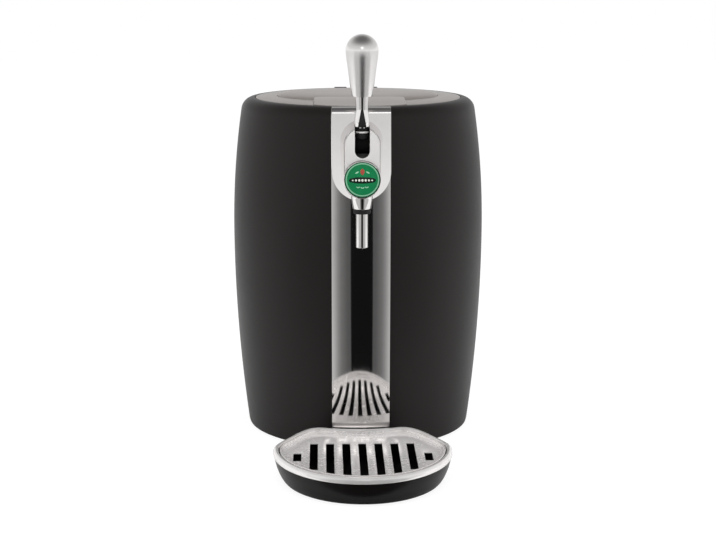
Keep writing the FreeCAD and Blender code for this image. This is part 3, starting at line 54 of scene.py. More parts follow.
class Value:
    """A shader socket that adds Math nodes as it is used in a sum."""

    def __init__(self, recipe, socket):
        self.recipe = recipe
        self.socket = socket

    def maths(self, operation, first, second=0.0):
        return self.recipe.add("ShaderNodeMath", {"operation": operation}, {0: first, 1: second})

    def __add__(self, other):
        return self.maths("ADD", self, other)

    def __sub__(self, other):
        return self.maths("SUBTRACT", self, other)

    def __rsub__(self, other):
        return self.maths("SUBTRACT", other, self)

    def __mul__(self, other):
        return self.maths("MULTIPLY", self, other)

    def __truediv__(self, other):
        return self.maths("DIVIDE", self, other)

    def __abs__(self):
        return self.maths("ABSOLUTE", self)

    __radd__ = __add__
    __rmul__ = __mul__


class Recipe:
    """The nodes of one material or of the world."""

    def __init__(self, owner):
        owner.use_nodes = True
        self.tree = owner.node_tree
        self.tree.nodes.clear()

    def add(self, kind, settings=None, values=None, output=0):
        """Adds a node, sets it up, feeds its sockets and gives one of its outputs."""
        node = self.tree.nodes.new(kind)
        for name, setting in (settings or {}).items():
            if name == "stops":
                stops = node.color_ramp.elements
                while len(stops) < len(setting):
                    stops.new(0.5)
                for stop, (place, tint) in zip(stops, setting):
                    stop.position = place
                    stop.color = (tint, tint, tint, 1) if isinstance(tint, float) else (*tint, 1)
            else:
                setattr(node, name, setting)
        for name, value in (values or {}).items():
            if isinstance(value, Value):
                self.tree.links.new(value.socket, node.inputs[name])
            else:
                node.inputs[name].default_value = value
        return Value(self, node.outputs[output]) if node.outputs else node

    def place(self):
        return self.add("ShaderNodeTexCoord", output="Object")


def on_stage(name, corners, material):
    mesh = bpy.data.meshes.new(name)
    sheet = bmesh.new()
    sheet.faces.new([sheet.verts.new(corner) for corner in corners])
    sheet.to_mesh(mesh)
    sheet.free()
    stand = bpy.data.objects.new(name, mesh)
    bpy.context.scene.collection.objects.link(stand)
    mesh.materials.append(material)
    return stand


# the barrel stands behind the origin, about its own upright axis
low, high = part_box("left_shell")
axis_y = (low.y + high.y) / 2

floor_paint = bpy.data.materials.new("pale_floor")
recipe = Recipe(floor_paint)
seen = recipe.add("ShaderNodeLightPath", output="Is Camera Ray")
matt = recipe.add("ShaderNodeBsdfDiffuse", values={"Color": (0.9, 0.9, 0.9, 1)})
floor_glow, glow_share = 1.12, 0.78
glow = recipe.add("ShaderNodeEmission", values={"Color": (1, 1, 1, 1), "Strength": floor_glow})
recipe.add("ShaderNodeOutputMaterial", values={
    "Surface": recipe.add("ShaderNodeMixShader", values={0: seen * glow_share, 1: matt, 2: glow})})
on_stage("floor", [(-6, -6, 0), (6, -6, 0), (6, 6, 0), (-6, 6, 0)], floor_paint)

# the flag slopes up from in front of the tray; it is black where the column's middle
# looks and lightens to each side, in a fan that widens with the way from the column
column_face, fan_waist, fan_spread, fan_aside, fan_reach = 0.137, 0.0118, 0.131, 0.22, 3.2
flag_paint = bpy.data.materials.new("dark_flag")
recipe = Recipe(flag_paint)
spot = recipe.add("ShaderNodeSeparateXYZ", values={0: recipe.place()})
ahead = Value(recipe, spot.socket.node.outputs["Y"]) * -1.0 + (axis_y - column_face)
across = abs(spot / (ahead * fan_spread + fan_waist) - fan_aside)
shade = recipe.add("ShaderNodeValToRGB", {"stops": [
    (0.0, 0.0065), (0.312, 0.0065), (0.322, 0.09), (0.42, 0.10), (0.6, 0.17), (0.69, 0.25), (0.78, 0.38),
    (0.88, 0.52)]}, {0: across / fan_reach})
recipe.add("ShaderNodeOutputMaterial", values={
    "Surface": recipe.add("ShaderNodeEmission", values={"Color": shade})})
flag_half, flag_foot, flag_head = 0.7, (axis_y - 0.310, 0.001), (axis_y - 0.720, 0.335)
flag = on_stage("dark_flag", [(-flag_half, *flag_foot), (flag_half, *flag_foot), (flag_half, *flag_head),
                              (-flag_half, *flag_head)], flag_paint)
flag.visible_camera = flag.visible_diffuse = flag.visible_shadow = flag.visible_transmission = False

# the studio's room: white where the camera sees it, graded from pale walls to a dim
# ceiling where polished metal mirrors it, and an even light for everything else
room_light = 0.80
world = bpy.data.worlds.new("studio")
bpy.context.scene.world = world
recipe = Recipe(world)
paths = recipe.add("ShaderNodeLightPath").socket.node.outputs
away = recipe.add("ShaderNodeSeparateXYZ", values={0: recipe.add("ShaderNodeTexCoord", output="Generated")})
ceiling = recipe.add("ShaderNodeValToRGB", {"stops": [
    (0.0, 0.95), (0.13, 0.95), (0.19, 0.70), (0.45, 0.66), (0.62, 0.48), (0.80, 0.24), (0.93, 0.13),
    (1.0, 0.11)]}, {0: Value(recipe, away.socket.node.outputs["Z"])})
seen = Value(recipe, paths["Is Camera Ray"]) + Value(recipe, paths["Is Transmission Ray"])
mirrored = Value(recipe, paths["Is Glossy Ray"])
bright = seen + mirrored * ceiling + (1.0 - seen - mirrored) * room_light
recipe.add("ShaderNodeOutputWorld", values={
    "Surface": recipe.add("ShaderNodeBackground", values={"Color": (1, 1, 1, 1), "Strength": bright})})

# each soft box: its width and height, its watts, where it hangs and where it points
for name, size, watts, place, aim in (
        ("top_softbox", (1.5, 1.1), 8.0, (0.0, -0.1, 1.5), (0, 0.0, 0)),
        ("left_softbox", (0.6, 1.3), 2.3, (-1.2, -0.15, 0.75), (0, 0.08, 0.25)),
        ("right_softbox", (0.6, 1.3), 2.3, (1.2, -0.15, 0.75), (0, 0.08, 0.25)),
        ("front_softbox", (0.4, 0.25), 0.55, (0.0, -1.5, 1.02), (0, -0.1, 0.42))):
    lamp = bpy.data.lights.new(name, "AREA")
    lamp.shape, lamp.size, lamp.size_y, lamp.energy = "RECTANGLE", *size, watts
    holder = bpy.data.objects.new(name, lamp)
    bpy.context.scene.collection.objects.link(holder)
    holder.location = place
    holder.rotation_euler = (Vector(aim) - Vector(place)).to_track_quat("-Z", "Y").to_euler()
    holder.visible_camera = False
    holder.visible_glossy = name == "front_softbox"

distance, eye_z, swing, tilt = 1.7573, 0.5234, math.radians(1.3), 11.336
camera = bpy.data.objects.new("camera", bpy.data.cameras.new("camera"))
camera.data.lens = 80.1
camera.location = (-distance * math.sin(swing), axis_y - distance * math.cos(swing), eye_z)
camera.rotation_euler = (math.radians(90 - tilt), 0, -swing)
bpy.context.scene.collection.objects.link(camera)
bpy.context.scene.camera = camera
bpy.context.scene.view_settings.view_transform = "Standard"


# The barrel housing: two moulded halves in dark satin plastic, joined at the
# front under the column and down the back. Each curls over at the shoulder
# into a ring round the lid.


def draw_line(bm, point, *places):
    """Draws straight lines from a point, and gives the last point."""
    for spot in places:
        following = bm.verts.new(spot)
        bm.edges.new((point, following))
        point = following
    return point


def sweep(bm, point, centre, turn, steps, upright=True):
    """Draws an arc from a point about a centre, and gives the last point."""
    made = bmesh.ops.spin(bm, geom=[point], cent=centre, axis=(0, -1, 0) if upright else (0, 0, 1),
                          angle=math.radians(turn), steps=steps)
    return next(g for g in made["geom_last"] if isinstance(g, bmesh.types.BMVert))


def close_outline(bm, last, first, older):
    """Joins an outline's last point to its first, and gives the outline's edges."""
    bmesh.ops.weld_verts(bm, targetmap={last: first})
    return [line for line in bm.edges if line not in older]


def everything(bm):
    """Gives all of a shape, as most operators want it."""
    return bm.verts[:] + bm.edges[:] + bm.faces[:]


def cut_off(bm, place, outward):
    """Cuts away what lies beyond a plane, and gives the edges of the cut."""
    made = bmesh.ops.bisect_plane(bm, geom=everything(bm), plane_co=place, plane_no=outward,
                                  clear_outer=True, dist=0.0001)
    return [g for g in made["geom_cut"] if isinstance(g, bmesh.types.BMEdge)]


def cut_out(bm, *planes):
    """Cuts a hole: away goes what lies behind every one of the planes."""
    planes = [(Vector(place), Vector(outward).normalized()) for place, outward in planes]
    for place, outward in planes:
        faces = [face for face in bm.faces if all(min((v.co - spot).dot(away) for v in face.verts) < 0
                                                  for spot, away in planes)]
        near = {g for face in faces for g in (*face.verts, *face.edges)}
        bmesh.ops.bisect_plane(bm, geom=faces + list(near), plane_co=place, plane_no=outward, dist=0.0001)
    doomed = [face for face in bm.faces
              if all((face.calc_center_median() - place).dot(outward) < 0 for place, outward in planes)]
    bmesh.ops.delete(bm, geom=doomed, context="FACES")


def fit(name, bm, body, slot, finish, *stands_for, wall=0.0, edge=0.0, crease=32.0):
    """Puts a shape, drawn in millimetres about the barrel's axis, in its place on a body."""
    bmesh.ops.remove_doubles(bm, verts=bm.verts, dist=0.001)
    bmesh.ops.recalc_face_normals(bm, faces=bm.faces)
    for face in bm.faces:
        face.smooth = True
    for line in bm.edges:
        line.smooth = line.calc_face_angle(0.0) < math.radians(crease)
    bm.transform(Matrix.Translation((0, axis_y, 0)) @ Matrix.Scale(0.001, 4))
    mesh = bpy.data.meshes.new(name)
    bm.to_mesh(mesh)
    bm.free()
    made = bpy.data.objects.new(name, mesh)
    bpy.context.scene.collection.objects.link(made)
    mesh.materials.append(finish)
    if wall:
        skin = made.modifiers.new("wall", "SOLIDIFY")
        skin.thickness, skin.offset, skin.use_even_offset = wall / 1000, -1, wall > 2
    if edge:
        soft = made.modifiers.new("soft_edges", "BEVEL")
        soft.width, soft.segments, soft.harden_normals = edge / 1000, 3, True
        soft.limit_method, soft.angle_limit = "ANGLE", math.radians(40)
    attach(made, body)
    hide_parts(*stands_for)
    return made


def plastic(name, colour, roughness, grain=1500.0, depth=0.12, shine=0.5, mottle=0.08, coat=0.0):
    """Moulded plastic: a fine grain from the tool, faint clouding and slight handling marks."""
    made = bpy.data.materials.new(name)
    recipe = Recipe(made)
    place = recipe.place()
    fine = recipe.add("ShaderNodeTexNoise", values={"Vector": place, "Scale": grain, "Detail": 2.0})
    cloud = recipe.add("ShaderNodeTexNoise", values={"Vector": place, "Scale": 22.0, "Detail": 4.0,
                                                     "Roughness": 0.6})
    rubbed = recipe.add("ShaderNodeTexNoise", values={"Vector": place, "Scale": 160.0, "Detail": 3.0})
    tint = recipe.add("ShaderNodeMix", {"data_type": "RGBA"}, {
        "Factor": cloud, 6: (*(c * (1 - mottle) for c in colour), 1),
        7: (*(c * (1 + mottle) for c in colour), 1)}, output=2)
    recipe.add("ShaderNodeOutputMaterial", values={"Surface": recipe.add("ShaderNodeBsdfPrincipled", values={
        "Base Color": tint, "Roughness": cloud * 0.08 + rubbed * 0.05 + (roughness - 0.065),
        "Specular IOR Level": shine, "Coat Weight": coat, "Coat Roughness": 0.08,
        "Normal": recipe.add("ShaderNodeBump", values={"Strength": depth, "Distance": 0.0002,
                                                       "Height": fine})})})
    return made


# the section's two long curves meet at the belly, and the upper one rolls over at the
# shoulder: the radius and the height of each place, the radius of each curve, and how
# far above the belly the shoulder's own curve starts and at which turn it ends
belly, belly_z = 138.1, 222.0
hem, hem_z = 123.9, 4.2
lip_in, lip_z, curl_in, curl_z = 2.5, 0.8, 0.7, 1.7
lower_bulge, upper_bulge = 1681.7, 890.3
shoulder, shoulder_z = 114.553, 352.348
shoulder_rise, shoulder_end = 132.4, 95.63
shoulder_turn = math.degrees(math.asin(shoulder_rise / upper_bulge))


def barrel_section(bm, grow=0.0):
    """Draws the barrel's upright section at +X, from the hem to the mouth."""
    point = bm.verts.new((hem - lip_in + grow, 0, lip_z))
    point = draw_line(bm, point, (hem - curl_in + grow, 0, curl_z), (hem + grow, 0, hem_z))
    rise = math.degrees(math.atan2(belly_z - hem_z, hem + grow - belly + lower_bulge))
    point = sweep(bm, point, (belly - lower_bulge, 0, belly_z), rise, 24)
    point = sweep(bm, point, (belly - upper_bulge, 0, belly_z), shoulder_turn, 16)
    return sweep(bm, point, (shoulder, 0, shoulder_z), shoulder_end - shoulder_turn, 14)


barrel_plastic = plastic("barrel_plastic", (0.0110, 0.0088, 0.0083), 0.40, shine=0.20, mottle=0.06)
shell_wall = 3.0
panel_half, panel_foot, panel_top, panel_gap = 52.0, 24.0, 226.0, 0.4
hinge_half, hinge_front, hinge_back, hinge_floor = 25.3, 99.0, 119.8, 349.0
plinth_half, plinth_top = 30.7, 28.0
back_only, front_only = ((0, 60, 0), (0, -1, 0)), ((0, -60, 0), (0, 1, 0))
for name, side in (("right_shell", 1), ("left_shell", -1)):
    bm = bmesh.new()
    barrel_section(bm)
    bmesh.ops.rotate(bm, verts=bm.verts, cent=(0, 0, 0), matrix=Matrix.Rotation(-math.pi / 2, 3, "Z"))
    bmesh.ops.spin(bm, geom=everything(bm), cent=(0, 0, 0), axis=(0, 0, side), angle=math.pi, steps=96)
    cut_out(bm, ((side * (panel_half + panel_gap), 0, 0), (side, 0, 0)), back_only,
            ((0, 0, panel_foot - panel_gap), (0, 0, -1)), ((0, 0, panel_top + panel_gap), (0, 0, 1)))
    cut_out(bm, ((side * hinge_half, 0, 0), (side, 0, 0)), ((0, hinge_front, 0), (0, -1, 0)),
            ((0, hinge_back, 0), (0, 1, 0)), ((0, 0, hinge_floor), (0, 0, -1)))
    cut_out(bm, ((side * plinth_half, 0, 0), (side, 0, 0)), front_only, ((0, 0, plinth_top), (0, 0, 1)))
    fit(name, bm, "housing", "shell_plastic", barrel_plastic, name, wall=shell_wall, edge=0.5)

# The rear panel: the same plastic as the barrel, screwed on at its corners,
# with a stack of round-ended vents and holes for the switch and the cord.
bm = bmesh.new()
barrel_section(bm)
bmesh.ops.rotate(bm, verts=bm.verts, cent=(0, 0, 0), matrix=Matrix.Rotation(math.radians(64), 3, "Z"))
bmesh.ops.spin(bm, geom=everything(bm), cent=(0, 0, 0), axis=(0, 0, 1), angle=math.radians(52), steps=36)
for place, outward in (((panel_half, 0, 0), (1, 0, 0)), ((-panel_half, 0, 0), (-1, 0, 0)),
                       ((0, 0, panel_top), (0, 0, 1)), ((0, 0, panel_foot), (0, 0, -1))):
    cut_off(bm, place, outward)


def round_hole(bm, x, z, radius, half_width, facets):
    """Cuts a round hole, or a round-ended slot, through the back of the barrel."""
    planes = []
    for i in range(facets):
        turn = 2 * math.pi * (i + 0.5) / facets
        end = x + math.copysign(half_width, math.cos(turn))
        planes.append(((end + radius * math.cos(turn), 0, z + radius * math.sin(turn)),
                       (math.cos(turn), 0, math.sin(turn))))
    cut_out(bm, *planes)


vents, lowest_vent, vent_pitch = 12, 110, 9
for row in range(vents):
    round_hole(bm, 0, lowest_vent + vent_pitch * row, 2.0, 29.0, 10)
entry_z, cord_x, cord_hole = 46, 26, 7.0
round_hole(bm, cord_x, entry_z, cord_hole, 0.0, 18)
switch_x, switch_half_x, switch_half_z = -26, 10, 6
cut_out(bm, ((switch_x - switch_half_x, 0, 0), (-1, 0, 0)), ((switch_x + switch_half_x, 0, 0), (1, 0, 0)),
        ((0, 0, entry_z - switch_half_z), (0, 0, -1)), ((0, 0, entry_z + switch_half_z), (0, 0, 1)))
screw_x, low_screw, high_screw = 44, 32, 218
for x in (-screw_x, screw_x):
    for z in (low_screw, high_screw):
        round_hole(bm, x, z, 2.0, 0.0, 12)
fit("rear_panel", bm, "housing", "shell_plastic", barrel_plastic, "rear_panel", wall=shell_wall, edge=0.35)

# The front column: a polished strip that bows with the barrel from the drip
# tray up to the lid and stands 3 mm proud of it, rather flatter across than the
# barrel, with softened long edges. Its foot kicks forward to meet the tray.


def metal(name, colour, roughness, brushed=(1, 1, 1), scale=220.0, depth=0.02, patchy=0.05, scuffs=0.0,
          pure=1.0):
    """Metal with brushing or fine polishing marks, faint smears and a few scuffs."""
    made = bpy.data.materials.new(name)
    recipe = Recipe(made)
    place = recipe.place()
    lined = recipe.add("ShaderNodeMapping", values={"Vector": place, "Scale": brushed})
    marks = recipe.add("ShaderNodeTexNoise", values={"Vector": lined, "Scale": scale, "Detail": 4.0})
    smears = recipe.add("ShaderNodeTexNoise", values={"Vector": place, "Scale": 35.0, "Detail": 3.0,
                                                      "Distortion": 0.6})
    rubs = recipe.add("ShaderNodeTexNoise", values={"Vector": place, "Scale": 420.0, "Detail": 2.0})
    tint = recipe.add("ShaderNodeMix", {"data_type": "RGBA"}, {
        "Factor": marks, 6: (*(c * 0.95 for c in colour), 1),
        7: (*(min(1, c * 1.04) for c in colour), 1)}, output=2)
    recipe.add("ShaderNodeOutputMaterial", values={"Surface": recipe.add("ShaderNodeBsdfPrincipled", values={
        "Base Color": tint, "Metallic": pure,
        "Roughness": marks * patchy + smears * patchy + rubs * scuffs + (roughness - patchy - scuffs / 2),
        "Normal": recipe.add("ShaderNodeBump", values={"Strength": depth, "Distance": 0.0001,
                                                       "Height": marks})})})
    return made


chrome = metal("chrome", (0.86, 0.84, 0.83), 0.05, scale=90.0, depth=0.002, patchy=0.015)
proud, column_half, column_foot, column_top = 3.0, 30.4, 28.0, 365.0
kick_z, kick, toe = 118.0, 4.95, 0.7
bend_centre, bend_half = (0, 40, 0), 12.5
bm = bmesh.new()
barrel_section(bm, proud)
cut_off(bm, (0, 0, column_foot), (0, 0, -1))
cut_off(bm, (0, 0, column_top), (0, 0, 1))
# the kick grows all the way down to the foot, and the toe only in its last few millimetres
for v in bm.verts:
    share = max(0.0, kick_z - v.co.z) / (kick_z - column_foot)
    v.co.x += kick * share ** 2 + toe * share ** 33
for centre, turn in (((0, 0, 0), -90), (bend_centre, -bend_half)):
    bmesh.ops.rotate(bm, verts=bm.verts, cent=centre, matrix=Matrix.Rotation(math.radians(turn), 3, "Z"))
bmesh.ops.spin(bm, geom=everything(bm), cent=bend_centre, axis=(0, 0, 1), angle=math.radians(2 * bend_half),
               steps=44)
for side in (1, -1):
    cut_off(bm, (side * column_half, 0, 0), (side, 0, 0))
fit("front_column", bm, "housing", "chrome", chrome, "front_column", wall=9.0, edge=0.9)

# The tap hood: a polished die casting over the column's top, flat and leaning
# in front, round below, with a rounded brow and soft front edges. The shell is
# open behind and at its flat top.
hood_half, hood_round, hood_top = 29.9, 305.0, 372.0
hood_back, hood_depth, hood_step = -121.2, 60.0, -122.0
brow_y, brow_z, brow_round, brow_facets = -144.0, 360.6, 8.0, 9
front_lean, brow_step = 8.4, 10.2
chin, chin_outward = (0, -164, 276.2), (0, -5.2, -21.9)
bm = bmesh.new()
first = bm.verts.new((hood_half, hood_back, hood_top))
point = draw_line(bm, first, (hood_half, hood_back, hood_round))
point = sweep(bm, point, (0, hood_back, hood_round), -180, 40)
point = draw_line(bm, point, (-hood_half, hood_back, hood_top))
bm.edges.new((point, first))
made = bmesh.ops.extrude_edge_only(bm, edges=bm.edges[:])["geom"]
moved = [g for g in made if isinstance(g, bmesh.types.BMVert)]
bmesh.ops.translate(bm, verts=moved, vec=(0, -hood_depth, 0))
planes = []
for step in range(brow_facets):
    lean = math.radians(front_lean + brow_step * step)
    outward = Vector((0, -math.cos(lean), math.sin(lean)))
    planes.append((Vector((0, brow_y, brow_z)) + brow_round * outward, outward))
planes.append((chin, chin_outward))
for place, outward in planes:
    bmesh.ops.edgeloop_fill(bm, edges=cut_off(bm, place, outward))
bmesh.ops.dissolve_degenerate(bm, dist=0.01, edges=bm.edges)
# the straight sides get a full radius first, and the round below then a small one
for offset, segments, floor_z in ((2.4, 5, 303), (0.7, 3, 0)):
    rounded = [line for line in bm.edges if line.is_manifold and line.calc_face_angle(0.0) > math.radians(16)
               and max(v.co.y for v in line.verts) < hood_step
               and min(v.co.z for v in line.verts) > floor_z]
    bmesh.ops.bevel(bm, geom=rounded, offset=offset, offset_type="OFFSET", affect="EDGES", segments=segments,
                    profile=0.5, material=-1, clamp_overlap=True)
hood = fit("tap_hood", bm, "housing", "chrome", chrome, "tap_hood")
hood.modifiers.new("flat_faces", "WEIGHTED_NORMAL").keep_sharp = True

# The tap head: a tapered casting like an upright slot with round ends, open
# at the top where the lever passes, and hollow round the valve.
head_low, head_high = 299.0, 334.5
slot_half, slot_foot, slot_floor, slot_depth = 7.5, 329.4, 320.0, -169.0


def slot_loop(bm, half, y):
    """Draws an upright slot's outline across the front, and gives its edges."""
    older = set(bm.edges)
    first = bm.verts.new((half, y, head_low))
    point = draw_line(bm, first, (half, y, head_high))
    point = sweep(bm, point, (0, y, head_high), 180, 32)
    point = draw_line(bm, point, (-half, y, head_low))
    return close_outline(bm, sweep(bm, point, (0, y, head_low), 180, 32), first, older)


def skin(bm, loops):
    """Spans a surface from each outline to the next."""
    for near, far in zip(loops, loops[1:]):
        bmesh.ops.bridge_loops(bm, edges=near + far)


bm = bmesh.new()
skin(bm, [slot_loop(bm, half, y) for half, y in (
    (19.2, -152), (15.4, -187.4), (15.4, -188.8), (17.3, -188.9), (17.35, -189.9), (17.6, -190.0),
    (17.85, -189.85), (18.0, -189.5), (18.4, -186), (21.8, -152))])
bmesh.ops.remove_doubles(bm, verts=bm.verts, dist=0.001)
cut_out(bm, ((slot_half, 0, 0), (1, 0, 0)), ((-slot_half, 0, 0), (-1, 0, 0)),
        ((0, 0, slot_floor), (0, 0, -1)), ((0, slot_depth, 0), (0, 1, 0)))
fit("tap_head", bm, "housing", "chrome", chrome, "tap_head")

# The face plate: thin brushed steel laid in the head's front, with the
# lever's slot cut down into it and its lower edge following the badge.
plate_metal = metal("brushed_plate", (0.97, 0.945, 0.93), 0.34, (1, 1, 0.06), 2600.0, 0.04, 0.06, 0.0, 0.35)
plate_half, plate_y = 17.15, -190.4
badge_z, badge_gap = 301.0, 18.9
bm = bmesh.new()
start = math.degrees(math.acos(slot_half / plate_half))
first = bm.verts.new((slot_half, plate_y, head_high + plate_half * math.sin(math.radians(start))))
point = sweep(bm, first, (0, plate_y, head_high), -start, 16)
side_z = badge_z + math.sqrt(badge_gap ** 2 - plate_half ** 2)
point = draw_line(bm, point, (plate_half, plate_y, side_z))
rise = math.degrees(math.acos(plate_half / badge_gap))
point = sweep(bm, point, (0, plate_y, badge_z), 180 - 2 * rise, 40)
point = draw_line(bm, point, (-plate_half, plate_y, head_high))
point = sweep(bm, point, (0, plate_y, head_high), -start, 16)
point = draw_line(bm, point, (-slot_half, plate_y, slot_foot))
point = sweep(bm, point, (0, plate_y, slot_foot), 180, 24)
bm.edges.new((point, first))
bmesh.ops.edgeloop_fill(bm, edges=bm.edges)
fit("tap_face", bm, "housing", "satin_metal", plate_metal, "tap_face", wall=1.4, edge=0.25)

# The badge: a thin polished rim round a domed enamel disc with a pale ring.
# Its pattern is a plain one: a row of beads in a dark bar, a hop above it and
# leaves, each a low raised inlay.
badge_back, badge_face, badge_r = -190, -194, 17.66
dome_rise, dome_fall, dome_reach = 4.42, 0.42, 14


def spin_round(bm, y, steps):
    """Spins a section right round an upright line, and gives the shape."""
    bmesh.ops.spin(bm, geom=everything(bm), cent=(0, y, 0), axis=(0, 0, 1), angle=2 * math.pi, steps=steps,
                   use_merge=True)
    return bm


def turned(outline, y=0.0, steps=72):
    """Turns an outline of radii and heights about an upright line."""
    bm = bmesh.new()
    places = [(radius, y, z) for radius, z in outline]
    draw_line(bm, bm.verts.new(places[0]), *places[1:])
    return spin_round(bm, y, steps)


def facing_front(bm, z, back):
    """Lays a turned piece on its back, so that its height points to the front."""
    bm.transform(Matrix.Translation((0, back, z)) @ Matrix.Rotation(math.pi / 2, 4, "X"))
    return bm


rim_section = [(17.7, 3.3), (17.7, 4.1), (17.85, 4.5), (18.2, 4.45), (18.5, 4.1), (18.6, 3.4), (18.6, 0.4),
               (18.4, 0.0)]
fit("badge_rim", facing_front(turned(rim_section, steps=96), badge_z, badge_back),
    "housing", "chrome", chrome, "badge_rim")

enamel = bpy.data.materials.new("badge_enamel")
recipe = Recipe(enamel)
spot = recipe.add("ShaderNodeMapping", values={"Vector": recipe.place(),
                                               "Location": (0, -axis_y - badge_face / 1000, -badge_z / 1000)})
radius = recipe.add("ShaderNodeVectorMath", {"operation": "LENGTH"}, {0: spot}, output="Value")
cloud = recipe.add("ShaderNodeTexNoise", values={"Vector": spot, "Scale": 160.0, "Detail": 3.0})
band = recipe.add("ShaderNodeValToRGB", {"stops": [
    (0.0, (0.004, 0.23, 0.075)), (0.86, (0.003, 0.19, 0.06)), (0.895, (0.30, 0.62, 0.42)),
    (0.935, (0.30, 0.62, 0.42)), (0.95, (0.002, 0.085, 0.03)), (1.0, (0.002, 0.06, 0.022))]},
    {0: radius / (badge_r / 1000)})
tint = recipe.add("ShaderNodeMix", {"data_type": "RGBA"}, {"Factor": cloud * 0.35, 6: band,
                                                           7: (0.02, 0.30, 0.12, 1)}, output=2)
recipe.add("ShaderNodeOutputMaterial", values={"Surface": recipe.add("ShaderNodeBsdfPrincipled", values={
    "Base Color": tint, "Roughness": cloud * 0.1 + 0.16, "Coat Weight": 0.6, "Coat Roughness": 0.05})})
disc_section = [(badge_r, 3.4), (17.5, 3.9), (14, 4.12), (9, 4.34), (4, 4.44), (0.2, 4.46)]
fit("badge_disc", facing_front(turned(disc_section, steps=96), badge_z, badge_back),
    "housing", "badge_enamel", enamel, "badge_disc")


def inlay(name, colour, spots):
    """Flat raised lens shapes on the badge: (x, z, half width, half height, turn, rise)."""
    bm = bmesh.new()
    for x, z, wide, tall, turn, rise in spots:
        y = badge_back - dome_rise + dome_fall * (x * x + z * z) / dome_reach ** 2
        bmesh.ops.create_icosphere(bm, subdivisions=2, radius=1, matrix=(
            Matrix.Translation((x, y, badge_z + z)) @ Matrix.Rotation(math.radians(turn), 4, "Y")
            @ Matrix.Diagonal((wide, rise, tall, 1))))
    fit(name, bm, "housing", "badge_enamel", plastic(name + "_paint", colour, 0.25, depth=0.03), crease=80)


inlay("badge_cartouche", (0.006, 0.02, 0.012), [(0, -0.5, 14.2, 3.4, 0, 0.16)])
inlay("badge_grains", (0.82, 0.83, 0.74), [(3.2 * k, -0.5, 1.25, 1.5 - 0.12 * abs(k), 0, 0.45)
                                           for k in range(-3, 4)])
inlay("badge_hop", (0.42, 0.07, 0.045), [(x, z, 1.05, 1.15, 0, 0.2) for x, z in (
    (0, 10.0), (-1.1, 9.0), (1.1, 9.0), (-1.2, 7.7), (1.2, 7.7), (0, 8.3), (-0.7, 6.6), (0.7, 6.6),
    (0, 5.7))])
inlay("badge_leaves", (0.36, 0.68, 0.46), [(-5.2, 7.2, 2.4, 0.9, -28, 0.15), (5.2, 7.2, 2.4, 0.9, 28, 0.15)]
      + [(4.3 * k + 0.95 * side, -7.9 + 0.5 * abs(k), 1.35, 0.62, -38 * side, 0.15)
         for k in (-1, 0, 1) for side in (-1, 1)])

# The spout: a polished collar under the head, a black ring below it and a
# plain steel tube that the beer runs from.
spout_y = -176
black_rubber = plastic("black_rubber", (0.012, 0.012, 0.012), 0.62, 900.0, 0.3, 0.35)
fit("nozzle_collar", turned([(6.1, 270.0), (6.3, 269.5), (9.0, 269.5), (9.25, 269.8), (10.7, 280.0),
                             (10.8, 281.0), (10.8, 284.6), (10.5, 285.0), (8.8, 285.0)], spout_y),
    "housing", "chrome", chrome, "nozzle_collar")
fit("nozzle_ring", turned([(6.1, 264.5), (8.3, 264.5), (8.8, 265.0), (8.8, 266.4), (8.5, 266.7),
                           (8.5, 267.3), (8.8, 267.6), (8.8, 269.1), (8.5, 269.45)], spout_y),
    "housing", "tray_plastic", black_rubber, "nozzle_ring")
fit("spout_tube", turned([(4.7, 284.0), (4.7, 230.3), (4.95, 229.8), (5.75, 229.8), (6.0, 230.1),
                          (6.0, 264.6)], spout_y),
    "housing", "chrome", chrome, "spout_tube")

# The pull lever: a polished stem whose skirt is notched in front, a ribbed
# rubber boot with a steel clip inside it, a near-black drum behind the head's
# slot whose colour is painted shade for the slot's hollow, and a pear-shaped
# handle turned from aluminium and bead blasted.
lever_y = -178
notch_half, notch_top, notch_foot, notch_lean = 1.2, 369, 352, 0.18
bm = turned([(0.0, 351.0), (6.95, 351.0), (7.05, 351.4), (7.2, 355.6), (7.5, 356.6), (7.55, 357.0),
             (7.4, 358.0), (7.0, 360.6), (6.6, 363.4), (6.3, 366.2), (6.15, 369.0), (6.15, 372.0),
             (7.0, 383.2), (0.0, 383.2)], lever_y)
cut_out(bm, ((notch_half, 0, notch_top), (1, 0, notch_lean)),
        ((-notch_half, 0, notch_top), (-1, 0, notch_lean)), ((0, lever_y, 0), (0, 1, 0)),
        ((0, 0, notch_top), (0, 0, 1)), ((0, 0, notch_foot), (0, 0, -1)))
fit("lever_stem", bm, "lever", "chrome", chrome, "lever_stem")
fit("lever_boot", turned([(0.0, 340.0), (6.4, 340.0), (6.9, 341.0), (6.9, 346.1), (6.6, 347.6), (6.9, 348.3),
                          (6.3, 349.1), (6.9, 349.9), (6.4, 350.6), (6.6, 351.4), (6.8, 355.6), (7.1, 357.0),
                          (6.6, 360.6), (6.2, 363.4), (5.8, 367.0), (5.7, 370.0), (0.0, 371.0)], lever_y, 40),
    "lever", "black_rubber", black_rubber)
fit("boot_clip", turned([(0.0, 346.0), (6.9, 346.0), (7.1, 346.3), (7.1, 347.4), (6.9, 347.7), (0.0, 347.7)],
                        lever_y, 40), "lever", "satin_metal", plate_metal)
# the drum's near-black colour is painted shade: it makes the hollow of the head's slot read dark
slot_shade_plastic = plastic("slot_shade_plastic", (0.0020, 0.0017, 0.0016), 0.65, shine=0.1)
drum_r, drum_width, drum_z, drum_back = 9.0, 13.6, 334, -179.5
bm = bmesh.new()
bmesh.ops.create_cone(bm, cap_ends=True, segments=64, radius1=drum_r, radius2=drum_r, depth=drum_width,
                      matrix=(Matrix.Translation((0, lever_y, drum_z)) @ Matrix.Rotation(math.pi / 2, 4, "Y")))
cut_off(bm, (0, drum_back, 0), (0, 1, 0))
fit("slot_shutter", bm, "lever", "dark_plastic", slot_shade_plastic, edge=0.5)
